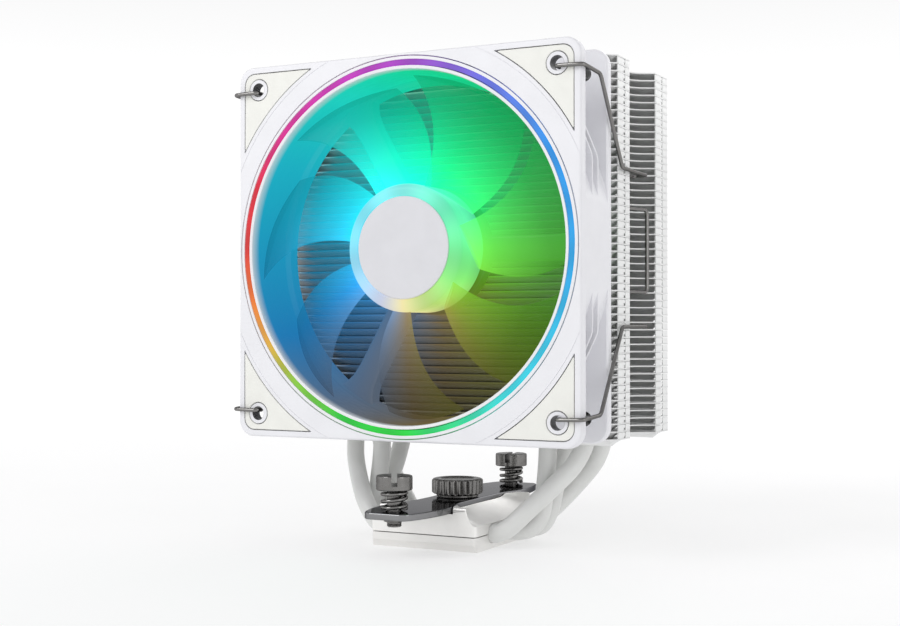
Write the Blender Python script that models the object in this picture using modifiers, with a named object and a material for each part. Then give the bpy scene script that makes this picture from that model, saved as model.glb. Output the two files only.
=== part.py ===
"""Tower cooler for a processor: base, heat pipes, fin stack, bracket bar and one clipped-on fan.

Metres, +Z up. The origin is the centre of the contact face. The fan faces -Y.
"""
import math

import bmesh
import bpy
from mathutils import Vector

# ---------------------------------------------------------------- driving dimensions
GAP = 0.0003                     # clearance between pieces that touch
OVERCUT = 0.001                  # how far a cutter runs past the face that it opens

# Fan
FAN_HALF = 0.060                 # the fan is 120 mm square
FAN_CORNER_R = 0.005
FAN_Z = 0.095                    # height of the fan's axis
FAN_FRONT = -0.0395
FAN_REAR = -0.0145
FRONT_FLANGE = 0.004
REAR_FLANGE = 0.0035
SCREW_PITCH = 0.0525             # half of the 105 mm hole pattern
SCREW_HOLE_R = 0.0022
COLLAR_R = 0.0033
DUCT_R = 0.055
DUCT_REAR_R = 0.0535
DUCT_STEP = 0.006                # depth of the narrower rear part
DUCT_CHAMFER = 0.0015
DUCT_OUTER_R = 0.0614
DUCT_STEPS = 40

# Lit ring in the front face
CHANNEL_INNER_R = 0.0561
CHANNEL_OUTER_R = 0.0593
CHANNEL_DEPTH = 0.0033
RING_FACE_OUTER_R = 0.0577
RING_FACE_DEPTH = 0.0015         # front of the ring's wider foot
RING_DEPTH = 0.0021
TRIM_T = 0.0012
RING_STEPS = 32
BOARD_T = 0.0006

# Corner pads
PAD_HALF = 0.0577
PAD_ARC_R = 0.0664
PAD_CORNER_R = 0.0035
PAD_T = 0.0014
HOLE_STEPS = 10

# Struts and motor mount
STRUT_ANGLES = (0, 120, 240)     # degrees from +X, seen from the front
STRUT_HALF_W = 0.004
STRUT_FLARE = 0.007
STRUT_FLARE_R = 0.045            # the flare starts here
STRUT_OUTER_R = 0.0545
STRUT_OVERLAP = 0.002            # how far a strut runs into the mount
STRUT_DEPTH = 0.0052
CABLE_NOTCH = (0.007, 0.004, 0.010)
CABLE_NOTCH_X = -0.040
MOUNT_R = 0.0205
MOUNT_T = 0.0032
MOUNT_RIM_H = 0.0012
MOUNT_RIM_W = 0.0015
MOUNT_HOLE_R = 0.0046
LABEL_R = 0.0175
LABEL_T = 0.0003
LABEL_SEAT = 0.0009
LABEL_LIFT = 0.0004

# Rotor
BLADE_COUNT = 7
HUB_R = 0.020
HUB_WALL = 0.0015
HUB_FRONT = -0.0377
HUB_REAR = -0.0215
CAP_R = 0.016
CAP_T = 0.0007
CAP_SEAT = 0.0011
HUB_EDGE = (0.0022, 0.0007, 0.0006)   # chamfers of the front rim
HUB_ROOF_T = 0.0014
BOSS_R = 0.0034
BOSS_LENGTH = 0.0024
SHAFT_HOLE_DEPTH = 0.0007        # how far the shaft's hole runs into the roof
BLADE_ROOT_R = 0.0194
BLADE_TIP_R = 0.0535
BLADE_FRONT = -0.0360
BLADE_REAR = -0.0225
BLADE_SPAN = math.radians(37)    # angle that one blade covers
BLADE_SWEEP = math.radians(17)   # how far the tip runs ahead of the root
BLADE_T = 0.0012
BLADE_CAMBER = 0.0016
BLADE_GRID = 4

# Motor: heights are measured forwards from the rear of the hub
SHAFT_R = 0.0015
SHAFT_NECK_R = 0.0010
SHAFT_TOP = 0.0137
SHAFT_NECK = (-0.0033, -0.0042)
SHAFT_BOTTOM = -0.0047
SHAFT_CLIP_R = 0.0024
SHAFT_CLIP_BORE = 0.0013
SHAFT_CLIP_Y = 0.00375
CLIP_T = 0.0003
CLIP_GAP_ANGLES = (40, 320)      # a clip ring runs from the first to the second
TUBE_R = 0.0042
TUBE_BORE = 0.0030
TUBE_TOP = 0.0105
TUBE_FLOOR = -0.0050
TUBE_BOTTOM = -0.0056
SLEEVE_R = (0.0027, 0.0019)
SLEEVE_ENDS = (0.0100, -0.0028)
YOKE_R = 0.0181
YOKE_WALL = 0.0008
YOKE_HOLE_R = 0.0040
YOKE_ENDS = (0.0132, 0.0005)
MAGNET_R = (0.0170, 0.0154)
MAGNET_ENDS = (0.0118, 0.0015)
MOTOR_STEPS = 24
CORE_R = 0.0148
CORE_EYE_R = 0.0046
CORE_ROOT_R = 0.0070
CORE_NECK_R = 0.0128
CORE_T = 0.007
CORE_Y = -0.0275
POLE_HALF_W = 0.0016
POLE_HALF_ANGLE = 35
COIL_MID_R = 0.0098
COIL_SIZE = (0.0046, 0.0098, 0.0080)
COIL_WINDOW = (0.0060, CORE_T + 0.0008, 0.0040)
BOARD_R = (0.0165, 0.0056)
BOARD_ENDS = (0.0014, 0.0006)
BOARD_Y = 0.0020

# Fin stack
FIN_COUNT = 25                   # each of these stands for two pressed fins
FIN_BOTTOM = 0.0355
FIN_TOP = 0.1545
FIN_T = 0.0008
FIN_FRONT = -0.0142
FIN_BACK = 0.0388
FIN_HALF_W = 0.060
FIN_NOSE = (0.054, -0.009)       # half width at the front, and where the full width starts
FIN_RECESS = ((FIN_HALF_W, 0.0015), (0.0548, 0.0017), (0.0526, 0.0060), (0.0526, 0.0195),
              (0.0552, 0.0235), (FIN_HALF_W, 0.0262))
COLLAR_HALF = 0.0039             # fins are spaced by a collar round each pipe

# Heat pipes: (Y in the base, Y of the leg) of the front and the rear pipe, and bends as (X, Z)
PIPE_R = 0.003
PIPE_TOP = 0.1575
PIPE_Z = 0.0048
LONG_BEND = ((0.0205, 0.0048), (0.0245, 0.0069), (0.0300, 0.0126),
             (0.0358, 0.0194), (0.0405, 0.0258), (0.0427, 0.0318))
TIGHT_BEND = ((0.0240, 0.0048), (0.0285, 0.0062), (0.0308, 0.0105),
              (0.0310, 0.0175), (0.0310, 0.0250), (0.0310, 0.0315))
OUTER_PIPES = ((-0.0125, 0.0065), (0.0125, 0.0225))
INNER_PIPES = ((-0.0042, 0.0040), (0.0042, 0.0190))
OUTER_LEG_X = 0.043
INNER_LEG_X = 0.031
PIPE_BORE_R = 0.0036

# Base
BASE_HALF_X = 0.0188
BASE_HALF_Y = 0.0248
BASE_CHAMFER_Y = 0.0015
BASE_CHAMFER_Z = 0.0023
BLOCK_TOP = 0.0139
BLOCK_SHOULDER = 0.0082          # the sides are straight up to here
BLOCK_LEVELS = (BLOCK_SHOULDER, 0.0098, 0.0116, BLOCK_TOP)
BLOCK_STATIONS = (-1, -0.93, -0.82, -0.6, 0, 0.6, 0.82, 0.93, 1)
BLOCK_HOLE_DEPTH = 0.0031        # below the channel's floor
CHANNEL_CUT_T = 0.004
WAIST_HALF = 0.0078
HORN_HALF = 0.0165               # half width of the block's top at its ends
SECTION_POWER = 6

# Bracket bar and its screws
BAR_BOTTOM = 0.0121
BAR_TOP = 0.0142
BAR_SCREW_Y = 0.04275
BAR_SCREW_HOLE_R = 0.00265
BAR_HALF_WIDTHS = ((0.0, 0.0080), (0.014, 0.0082), (0.021, 0.0094), (0.0255, 0.0108),
                   (0.032, 0.0110), (0.040, 0.0100), (0.0465, 0.0082), (0.0493, 0.0062))
HEAD_R = 0.0056
HEAD_BOTTOM = 0.0208
HEAD_TOP = 0.0252
HEAD_CHAMFER = 0.0005
SHANK_R = 0.00225
SHANK_BOTTOM = 0.0095
SHANK_CHAMFER = 0.0004
NECK_R = 0.00165
SCREW_CLIP_R = 0.0032
SCREW_CLIP_T = 0.0004
CLIP_GROOVE = (0.0109, 0.0118)
SPRING_R = 0.00375
SPRING_WIRE_R = 0.0005
SPRING_TURNS = 3.2
SLOT_LENGTH = 0.014
SLOT_W = 0.0018
SLOT_DEPTH = 0.0030
FRONT_SLOT_ANGLE = math.radians(-60)
REAR_SLOT_ANGLE = math.radians(-80)

# Thumb screw in the middle of the bar
THUMB_R = 0.00915
THUMB_BOTTOM = 0.0153
THUMB_TOP = 0.0203
THUMB_SHANK_R = 0.0029
THUMB_SHANK_BOTTOM = 0.0092
THUMB_HOLE_R = 0.0034
KNURL_COUNT = 24
KNURL_DEPTH = 0.0006
WASHER_R = 0.0070
WASHER_T = 0.0005

# Wire clips: upper half of the right-hand one, its heights from the fan's axis
WIRE_R = 0.0008
CLIP_BEND_R = 0.0015
CLIP_FRONT_Y = -0.0406
CLIP_SIDE_X = 0.0612
CLIP_INNER_X = 0.0566
CLIP_HOOK = ((SCREW_PITCH, -0.0356, SCREW_PITCH), (SCREW_PITCH, CLIP_FRONT_Y, SCREW_PITCH),
             (CLIP_SIDE_X, CLIP_FRONT_Y, SCREW_PITCH), (CLIP_SIDE_X, -0.0270, SCREW_PITCH))
CLIP_LATCH = ((CLIP_SIDE_X, -0.0085, 0.0245), (CLIP_SIDE_X, 0.0140, 0.0243),
              (CLIP_INNER_X, 0.0140, 0.0241), (CLIP_INNER_X, 0.0034, 0.0240))
CLIP_HANDLE = ((CLIP_INNER_X, 0.0034, 0.0133), (0.0604, 0.0165, 0.0133))

FRONT_FACING = (math.radians(90), 0, 0)            # local XY becomes XZ, local Z becomes -Y
SIDE_FACING = (math.radians(90), 0, math.radians(90))   # local XY becomes YZ, local Z becomes X

WHITE_PLASTIC = ((0.86, 0.86, 0.89), 0.42, 0.0)
IVORY_RUBBER = ((0.84, 0.84, 0.79), 0.60, 0.0)
WHITE_PAINT = ((0.82, 0.83, 0.82), 0.38, 0.0)
FROSTED = ((0.80, 0.90, 0.88), 0.35, 0.0)
RING_LIGHT = ((0.25, 0.60, 0.95), 0.30, 0.0)
SATIN_NICKEL = ((0.78, 0.77, 0.75), 0.28, 1.0)
POLISHED = ((0.85, 0.85, 0.86), 0.06, 1.0)
STEEL = ((0.55, 0.54, 0.52), 0.30, 1.0)
COPPER = ((0.72, 0.38, 0.22), 0.35, 1.0)
BRASS = ((0.70, 0.55, 0.28), 0.35, 1.0)
CIRCUIT = ((0.05, 0.22, 0.10), 0.50, 0.0)
FERRITE = ((0.08, 0.08, 0.09), 0.70, 0.0)


# ---------------------------------------------------------------- scene and tools
def clear_scene():
    """Remove every object that the file starts with."""
    for obj in list(bpy.data.objects):
        bpy.data.objects.remove(obj, do_unlink=True)


def new_collection(name):
    """A collection linked to the scene."""
    collection = bpy.data.collections.new(name)
    bpy.context.scene.collection.children.link(collection)
    return collection


clear_scene()
PARTS = new_collection("cpu_tower_cooler")
CUTTERS = new_collection("cutters")


def material(name, finish):
    """A Principled material from (colour, roughness, metallic)."""
    colour, roughness, metallic = finish
    mat = bpy.data.materials.new(name)
    mat.use_nodes = True
    shader = mat.node_tree.nodes["Principled BSDF"]
    shader.inputs["Base Color"].default_value = (*colour, 1.0)
    shader.inputs["Roughness"].default_value = roughness
    shader.inputs["Metallic"].default_value = metallic
    return mat


def add_object(name, data):
    """Link new data to the cutters' collection; part() moves the pieces that stay."""
    obj = bpy.data.objects.new(name, data)
    CUTTERS.objects.link(obj)
    obj.hide_render = True
    obj.display_type = "WIRE"
    return obj


def part(obj, finish):
    """Make an object one of the cooler's pieces."""
    CUTTERS.objects.unlink(obj)
    PARTS.objects.link(obj)
    obj.hide_render = False
    obj.display_type = "TEXTURED"
    obj.data.materials.append(material(obj.name, finish))
    if obj.type == "MESH":
        obj.data.shade_smooth()
        obj.data.set_sharp_from_angle(angle=math.radians(35))
    return obj


def place(obj, location, rotation=(0, 0, 0)):
    """Put an object at a place and turn."""
    obj.location = location
    obj.rotation_euler = rotation
    return obj


def face_front(obj, y):
    """Stand a flat or turned piece on the fan's axis at depth y."""
    return place(obj, (0, y, FAN_Z), FRONT_FACING)


def boolean(obj, other, operation):
    """Cut or join with an exact Boolean modifier."""
    modifier = obj.modifiers.new(other.name, "BOOLEAN")
    modifier.operation = operation
    modifier.object = other
    modifier.solver = "EXACT"
    return obj


def cut(obj, other):
    """Remove other from obj."""
    return boolean(obj, other, "DIFFERENCE")


def join(obj, other):
    """Add other to obj."""
    return boolean(obj, other, "UNION")


def as_mesh(curve_obj):
    """Rebuild a curve object as a mesh object with its caps welded."""
    depsgraph = bpy.context.evaluated_depsgraph_get()
    mesh = bpy.data.meshes.new_from_object(curve_obj.evaluated_get(depsgraph))
    name = curve_obj.name
    bpy.data.objects.remove(curve_obj, do_unlink=True)
    edit = bmesh.new()
    edit.from_mesh(mesh)
    bmesh.ops.remove_doubles(edit, verts=edit.verts, dist=1e-7)
    edit.to_mesh(mesh)
    edit.free()
    return add_object(name, mesh)


def add_spline(curve, points, cyclic):
    """Add one straight-sided spline through points."""
    spline = curve.splines.new("POLY")
    spline.points.add(len(points) - 1)
    for slot, point in zip(spline.points, points):
        slot.co = (*point, 1.0) if len(point) == 3 else (*point, 0.0, 1.0)
    spline.use_cyclic_u = cyclic


def flat(name, outlines, thickness):
    """A plate: closed outlines, an inner one being a hole, extruded about local Z = 0."""
    curve = bpy.data.curves.new(name, "CURVE")
    curve.dimensions = "2D"
    curve.fill_mode = "BOTH"
    curve.extrude = thickness / 2
    for outline in outlines:
        add_spline(curve, outline, True)
    return as_mesh(add_object(name, curve))


def rod(name, points, radius, resolution):
    """A round wire or tube of one radius through points, with closed ends."""
    curve = bpy.data.curves.new(name, "CURVE")
    curve.dimensions = "3D"
    curve.bevel_depth = radius
    curve.bevel_resolution = resolution
    curve.use_fill_caps = True
    add_spline(curve, points, False)
    return as_mesh(add_object(name, curve))


def turned(name, profile, steps, closed=False):
    """A profile of (radius, height), listed down its outer side, turned about local Z."""
    count = len(profile)
    edges = [(i, i + 1) for i in range(count - 1)]
    if closed:
        edges.append((count - 1, 0))
    mesh = bpy.data.meshes.new(name)
    mesh.from_pydata([(radius, 0, height) for radius, height in profile], edges, [])
    obj = add_object(name, mesh)
    screw = obj.modifiers.new("turn", "SCREW")
    screw.steps = steps
    screw.render_steps = steps
    screw.use_merge_vertices = True
    screw.merge_threshold = 1e-6
    return obj


def box(name, size, centre):
    """A rectangular block."""
    bpy.ops.mesh.primitive_cube_add(size=1)
    obj = bpy.context.object
    for collection in list(obj.users_collection):
        collection.objects.unlink(obj)
    CUTTERS.objects.link(obj)
    obj.name = name
    obj.hide_render = True
    obj.display_type = "WIRE"
    for vertex in obj.data.vertices:
        vertex.co = Vector(a * b for a, b in zip(vertex.co, size))
    obj.location = centre
    return obj


# ---------------------------------------------------------------- outlines
def arc(radius, start, end, steps, centre=(0.0, 0.0)):
    """Points on an arc from start to end, both in degrees and both included."""
    angles = [math.radians(start + (end - start) * i / steps) for i in range(steps + 1)]
    return [(centre[0] + radius * math.cos(a), centre[1] + radius * math.sin(a)) for a in angles]


def circle(radius, steps, centre=(0.0, 0.0)):
    """A closed circle."""
    return arc(radius, 0, 360, steps, centre)[:-1]


def turn(points, degrees):
    """Points turned about the origin."""
    c = math.cos(math.radians(degrees))
    s = math.sin(math.radians(degrees))
    return [(c * x - s * y, s * x + c * y) for x, y in points]


def rounded_square(half, radius, steps):
    """A square with round corners."""
    inner = half - radius
    points = []
    for quarter in range(4):
        corner = turn([(inner, inner)], 90 * quarter)[0]
        points += arc(radius, 90 * quarter, 90 * quarter + 90, steps, corner)
    return points


def ring_profile(outer_r, inner_r, top, bottom):
    """A closed rectangular profile, down its outer side."""
    return [(outer_r, top), (outer_r, bottom), (inner_r, bottom), (inner_r, top)]


def disc_profile(radius, top, bottom):
    """A profile from the axis, down its outer side, back to the axis."""
    return [(0, top), (radius, top), (radius, bottom), (0, bottom)]


# ---------------------------------------------------------------- fan frame
def pad_outline(grow):
    """Corner pad in the +X +Y corner: a rounded corner closed by an arc about the fan's axis."""
    half = PAD_HALF + grow
    arc_r = PAD_ARC_R - grow
    reach = math.degrees(math.acos(half / arc_r))
    corner_r = PAD_CORNER_R + grow
    corner = (half - corner_r, half - corner_r)
    return arc(corner_r, 0, 90, 3, corner) + arc(arc_r, 90 - reach, reach, 6)


def pad_seats(name, y_mid, depth):
    """Cutter for the four pad seats, which leave a collar round each screw hole."""
    outlines = []
    for quarter in range(4):
        outlines.append(turn(pad_outline(GAP), 90 * quarter))
        outlines.append(turn(circle(COLLAR_R, HOLE_STEPS, (SCREW_PITCH, SCREW_PITCH)), 90 * quarter))
    return face_front(flat(name, outlines, depth), y_mid)


def strut_outline(angle):
    """A radial strut, flared where it meets the duct."""
    half = [(MOUNT_R - STRUT_OVERLAP, STRUT_HALF_W), (STRUT_FLARE_R, STRUT_HALF_W),
            (STRUT_OUTER_R, STRUT_FLARE)]
    other = [(x, -y) for x, y in reversed(half)]
    return turn(half[::-1] + other[::-1], angle)


def motor_mount():
    """The disc that carries the motor, with a raised rim, a centre hole and a seat for a blank disc."""
    front = MOUNT_T + MOUNT_RIM_H
    rim = MOUNT_R - MOUNT_RIM_W
    seat = LABEL_R + GAP
    profile = [(MOUNT_R, front), (MOUNT_R, 0), (seat, 0), (seat, LABEL_SEAT), (MOUNT_HOLE_R, LABEL_SEAT),
               (MOUNT_HOLE_R, MOUNT_T), (rim, MOUNT_T), (rim, front)]
    return face_front(turned("motor_mount", profile, 36, closed=True), FAN_REAR - GAP)


def fan_frame():
    """Square frame with two flanges, a round duct, three struts and the motor mount."""
    depth = FAN_REAR - FAN_FRONT
    frame = flat("fan_frame", [rounded_square(FAN_HALF, FAN_CORNER_R, 3)], depth)
    face_front(frame, (FAN_FRONT + FAN_REAR) / 2)

    space_depth = depth - FRONT_FLANGE - REAR_FLANGE
    space_mid = (FAN_FRONT + FRONT_FLANGE + FAN_REAR - REAR_FLANGE) / 2
    past = FAN_HALF + 4 * OVERCUT
    around = [rounded_square(past, OVERCUT, 1), circle(DUCT_OUTER_R, DUCT_STEPS)]
    cut(frame, face_front(flat("corner_spaces", around, space_depth), space_mid))

    front = depth + OVERCUT
    bore = [(0, front), (DUCT_R, front), (DUCT_R, DUCT_STEP), (DUCT_REAR_R, DUCT_STEP - DUCT_CHAMFER),
            (DUCT_REAR_R, -OVERCUT), (0, -OVERCUT)]
    cut(frame, face_front(turned("duct_bore", bore, DUCT_STEPS), FAN_REAR))

    channel = ring_profile(CHANNEL_OUTER_R, CHANNEL_INNER_R, OVERCUT, -CHANNEL_DEPTH)
    cut(frame, face_front(turned("ring_channel", channel, RING_STEPS, closed=True), FAN_FRONT))

    seat = PAD_T + GAP
    cut(frame, pad_seats("front_pad_seats", FAN_FRONT, 2 * seat))
    cut(frame, pad_seats("rear_pad_seats", FAN_REAR, 2 * seat))

    hole = circle(SCREW_HOLE_R, HOLE_STEPS, (SCREW_PITCH, SCREW_PITCH))
    holes = [turn(hole, 90 * quarter) for quarter in range(4)]
    cut(frame, face_front(flat("screw_holes", holes, depth + 2 * OVERCUT), (FAN_FRONT + FAN_REAR) / 2))

    struts = [strut_outline(angle) for angle in STRUT_ANGLES]
    strut_mid = FAN_REAR - GAP - STRUT_DEPTH / 2
    join(frame, face_front(flat("struts", struts, STRUT_DEPTH), strut_mid))
    join(frame, motor_mount())
    cut(frame, box("cable_notch", CABLE_NOTCH, (CABLE_NOTCH_X, FAN_REAR, FAN_Z - FAN_HALF)))
    return part(frame, WHITE_PLASTIC)


def corner_pads():
    """Eight soft pads, four on each face of the frame."""
    names = ("top_right", "top_left", "bottom_left", "bottom_right")
    for side, y in (("front", FAN_FRONT + PAD_T / 2), ("rear", FAN_REAR - PAD_T / 2)):
        for quarter, name in enumerate(names):
            hole = circle(COLLAR_R + GAP, HOLE_STEPS, (SCREW_PITCH, SCREW_PITCH))
            outlines = [turn(pad_outline(0), 90 * quarter), turn(hole, 90 * quarter)]
            pad = flat(f"{side}_{name}_pad", outlines, PAD_T)
            part(face_front(pad, y), IVORY_RUBBER)


def lit_ring():
    """Diffuser ring, the board with its lamps behind it, and the trim ring that holds both."""
    inner = CHANNEL_INNER_R + GAP
    outer = CHANNEL_OUTER_R - GAP
    profile = [(RING_FACE_OUTER_R, 0), (RING_FACE_OUTER_R, -RING_FACE_DEPTH), (outer, -RING_FACE_DEPTH),
               (outer, -RING_DEPTH), (inner, -RING_DEPTH), (inner, 0)]
    ring = turned("light_ring", profile, RING_STEPS, closed=True)
    part(face_front(ring, FAN_FRONT), RING_LIGHT)

    trim = turned("ring_trim", ring_profile(outer, RING_FACE_OUTER_R + GAP, 0, -TRIM_T),
                  RING_STEPS, closed=True)
    part(face_front(trim, FAN_FRONT), WHITE_PLASTIC)

    top = -CHANNEL_DEPTH + GAP + BOARD_T
    board = turned("ring_led_board", ring_profile(outer, inner, top, top - BOARD_T),
                   RING_STEPS, closed=True)
    part(face_front(board, FAN_FRONT), CIRCUIT)


# ---------------------------------------------------------------- rotor
def blade(index):
    """One thin blade: a swept helical strip from hub to tip, with a thickness."""
    edit = bmesh.new()
    bmesh.ops.create_grid(edit, x_segments=BLADE_GRID, y_segments=BLADE_GRID, size=1)
    start = 2 * math.pi * index / BLADE_COUNT
    for vertex in edit.verts:
        u = (1 - vertex.co.x) / 2
        v = (vertex.co.y + 1) / 2
        radius = BLADE_ROOT_R + (BLADE_TIP_R - BLADE_ROOT_R) * v
        angle = start + BLADE_SPAN * (0.5 - u) + BLADE_SWEEP * v * v
        camber = BLADE_CAMBER * math.sin(math.pi * u)
        depth = BLADE_FRONT + (BLADE_REAR - BLADE_FRONT) * u - camber
        vertex.co = (radius * math.cos(angle), depth, FAN_Z + radius * math.sin(angle))
    mesh = bpy.data.meshes.new("blade")
    edit.to_mesh(mesh)
    edit.free()
    obj = add_object(f"blade_{index + 1}", mesh)
    shell = obj.modifiers.new("thickness", "SOLIDIFY")
    shell.thickness = BLADE_T
    shell.offset = 0
    return obj


def rotor():
    """Hub cup with a boss for the shaft, and the blades."""
    depth = HUB_REAR - HUB_FRONT
    inner = HUB_R - HUB_WALL
    seat = depth - CAP_SEAT
    seat_r = CAP_R + GAP
    roof = seat - HUB_ROOF_T
    boss_end = roof - BOSS_LENGTH
    hole_r = SHAFT_R + GAP
    hole_end = roof + SHAFT_HOLE_DEPTH
    edge, shoulder_x, shoulder_z = HUB_EDGE
    profile = [(0, seat), (seat_r, seat), (seat_r, depth), (HUB_R - edge, depth),
               (HUB_R - shoulder_x, depth - shoulder_z), (HUB_R, depth - edge), (HUB_R, 0), (inner, 0),
               (inner, roof), (BOSS_R, roof), (BOSS_R, boss_end), (hole_r, boss_end),
               (hole_r, hole_end), (0, hole_end)]
    hub = face_front(turned("rotor", profile, 28), HUB_REAR)
    for index in range(BLADE_COUNT):
        join(hub, blade(index))
    part(hub, FROSTED)


def hub_cap():
    """Thin disc that covers the front of the hub."""
    top = -(CAP_SEAT - GAP - CAP_T)
    cap = turned("hub_cap", disc_profile(CAP_R, top, top - CAP_T), 32)
    part(face_front(cap, HUB_FRONT), WHITE_PLASTIC)


def open_ring(radius, bore):
    """Outline of a clip ring, open on its +X side."""
    start, end = CLIP_GAP_ANGLES
    return arc(radius, start, end, 10) + arc(bore, end, start, 8)


def rotor_inner_parts():
    """Steel cup, ring magnet, shaft and shaft clip: they turn with the hub."""
    front, rear = YOKE_ENDS
    inner = YOKE_R - YOKE_WALL
    roof = front - YOKE_WALL
    cup = [(YOKE_R, front), (YOKE_R, rear), (inner, rear), (inner, roof), (YOKE_HOLE_R, roof),
           (YOKE_HOLE_R, front)]
    part(face_front(turned("rotor_yoke", cup, MOTOR_STEPS, closed=True), HUB_REAR), STEEL)
    magnet = turned("rotor_magnet", ring_profile(*MAGNET_R, *MAGNET_ENDS), MOTOR_STEPS, closed=True)
    part(face_front(magnet, HUB_REAR), FERRITE)
    neck_top, neck_bottom = SHAFT_NECK
    shaft = [(0, SHAFT_TOP), (SHAFT_R, SHAFT_TOP), (SHAFT_R, neck_top), (SHAFT_NECK_R, neck_top),
             (SHAFT_NECK_R, neck_bottom), (SHAFT_R, neck_bottom), (SHAFT_R, SHAFT_BOTTOM),
             (0, SHAFT_BOTTOM)]
    part(face_front(turned("rotor_shaft", shaft, 12), HUB_REAR), STEEL)
    clip = flat("shaft_clip", [open_ring(SHAFT_CLIP_R, SHAFT_CLIP_BORE)], CLIP_T)
    part(face_front(clip, HUB_REAR + SHAFT_CLIP_Y), STEEL)


# ---------------------------------------------------------------- motor parts that stay still
def bearing():
    """Blind tube in the motor mount, and the sleeve that the shaft runs in."""
    tube = [(0, TUBE_FLOOR), (TUBE_BORE, TUBE_FLOOR), (TUBE_BORE, TUBE_TOP), (TUBE_R, TUBE_TOP),
            (TUBE_R, TUBE_BOTTOM), (0, TUBE_BOTTOM)]
    part(face_front(turned("bearing_tube", tube, 16), HUB_REAR), WHITE_PLASTIC)
    sleeve = turned("bearing_sleeve", ring_profile(*SLEEVE_R, *SLEEVE_ENDS), 16, closed=True)
    part(face_front(sleeve, HUB_REAR), BRASS)


def pole_outline():
    """Outline of the four-pole core, counter-clockwise: eye ring, stems and curved heads."""
    stem = math.degrees(math.asin(POLE_HALF_W / CORE_ROOT_R))
    neck = math.degrees(math.asin(POLE_HALF_W / CORE_NECK_R))
    head = POLE_HALF_ANGLE
    points = []
    for quarter in range(4):
        points += turn(arc(CORE_ROOT_R, -90 + stem, -stem, 2), 90 * quarter)
        points += turn(arc(CORE_NECK_R, -neck, -head, 2), 90 * quarter)
        points += turn(arc(CORE_R, -head, head, 6), 90 * quarter)
        points += turn(arc(CORE_NECK_R, head, neck, 2), 90 * quarter)
    return points


def stator():
    """Laminated core, four coils on its poles, and the circuit board behind them."""
    core = flat("stator_core", [pole_outline(), circle(CORE_EYE_R, 16)], CORE_T)
    part(face_front(core, CORE_Y), STEEL)
    for index in range(4):
        x, z = turn([(COIL_MID_R, 0)], 90 * index)[0]
        centre = (x, CORE_Y, FAN_Z + z)
        tilt = (0, -math.radians(90 * index), 0)
        coil = place(box(f"stator_coil_{index + 1}", COIL_SIZE, centre), centre, tilt)
        window = place(box(f"coil_window_{index + 1}", COIL_WINDOW, centre), centre, tilt)
        part(cut(coil, window), COPPER)
    board = turned("motor_board", ring_profile(*BOARD_R, *BOARD_ENDS), MOTOR_STEPS, closed=True)
    part(face_front(board, HUB_REAR + BOARD_Y), CIRCUIT)
    disc = turned("mount_blank_disc", disc_profile(LABEL_R, LABEL_T, 0), 28)
    part(face_front(disc, FAN_REAR - LABEL_SEAT + LABEL_LIFT), WHITE_PLASTIC)


# ---------------------------------------------------------------- fins and pipes
def pipe_legs():
    """Centres of the eight pipe legs in the fin stack."""
    legs = []
    for side in (-1, 1):
        legs += [(side * OUTER_LEG_X, leg_y) for _, leg_y in OUTER_PIPES]
        legs += [(side * INNER_LEG_X, leg_y) for _, leg_y in INNER_PIPES]
    return legs


def fin_outline():
    """One fin: chamfered front corners and a curved recess in each side."""
    nose_half, nose_end = FIN_NOSE
    right = [(nose_half, FIN_FRONT), (FIN_HALF_W, nose_end), *FIN_RECESS, (FIN_HALF_W, FIN_BACK)]
    return right + [(-x, y) for x, y in reversed(right)]


def fin_stack():
    """All fins, joined by the collars that space them along each pipe."""
    pitch = (FIN_TOP - FIN_BOTTOM - FIN_T) / (FIN_COUNT - 1)
    stack = flat("fin_stack", [fin_outline()], FIN_T)
    place(stack, (0, 0, FIN_BOTTOM + FIN_T / 2))
    repeat = stack.modifiers.new("fins", "ARRAY")
    repeat.count = FIN_COUNT
    repeat.use_relative_offset = False
    repeat.use_constant_offset = True
    repeat.constant_offset_displace = (0, 0, pitch)
    middle = (FIN_BOTTOM + FIN_TOP) / 2
    corner_r = COLLAR_HALF * math.sqrt(2)
    collars = [[(x + dx, y + dy) for dx, dy in turn(circle(corner_r, 4), 45)] for x, y in pipe_legs()]
    join(stack, place(flat("collars", collars, FIN_TOP - FIN_BOTTOM - FIN_T), (0, 0, middle)))
    bores = [circle(PIPE_BORE_R, 8, leg) for leg in pipe_legs()]
    cut(stack, place(flat("pipe_bores", bores, FIN_TOP - FIN_BOTTOM + 2 * OVERCUT), (0, 0, middle)))
    return part(stack, WHITE_PAINT)


def smooth_route(points, steps):
    """Points of a Catmull-Rom curve through points, steps to each stretch between two of them."""
    knots = [points[0] * 2 - points[1]] + points + [points[-1] * 2 - points[-2]]
    route = []
    for a, b, c, d in zip(knots, knots[1:], knots[2:], knots[3:]):
        for i in range(steps):
            t = i / steps
            route.append(0.5 * (2 * b + (c - a) * t + (2 * a - 5 * b + 4 * c - d) * t * t
                                + (3 * b - a - 3 * c + d) * t * t * t))
    route.append(points[-1])
    return route


def half_pipe(bend, base_y, leg_x, leg_y, early):
    """Right half of a pipe's route: along the base, through its bends, then up the leg.

    The pipe leans back from base_y to leg_y as it rises, most of it early or half-way up.
    """
    points = []
    for x, z in bend + ((leg_x, FIN_BOTTOM),):
        rise = (z - PIPE_Z) / (FIN_BOTTOM - PIPE_Z)
        lean = 1 - (1 - rise) ** 2 if early else rise * rise * (3 - 2 * rise)
        points.append(Vector((x, base_y + (leg_y - base_y) * lean, z)))
    return smooth_route(points, 2) + [Vector((leg_x, leg_y, PIPE_TOP))]


def heat_pipe(name, right):
    """A U-shaped pipe, the same on both sides of the base."""
    left = [Vector((-p.x, p.y, p.z)) for p in reversed(right)]
    part(rod(name, left + right, PIPE_R, 2), WHITE_PAINT)


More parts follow.
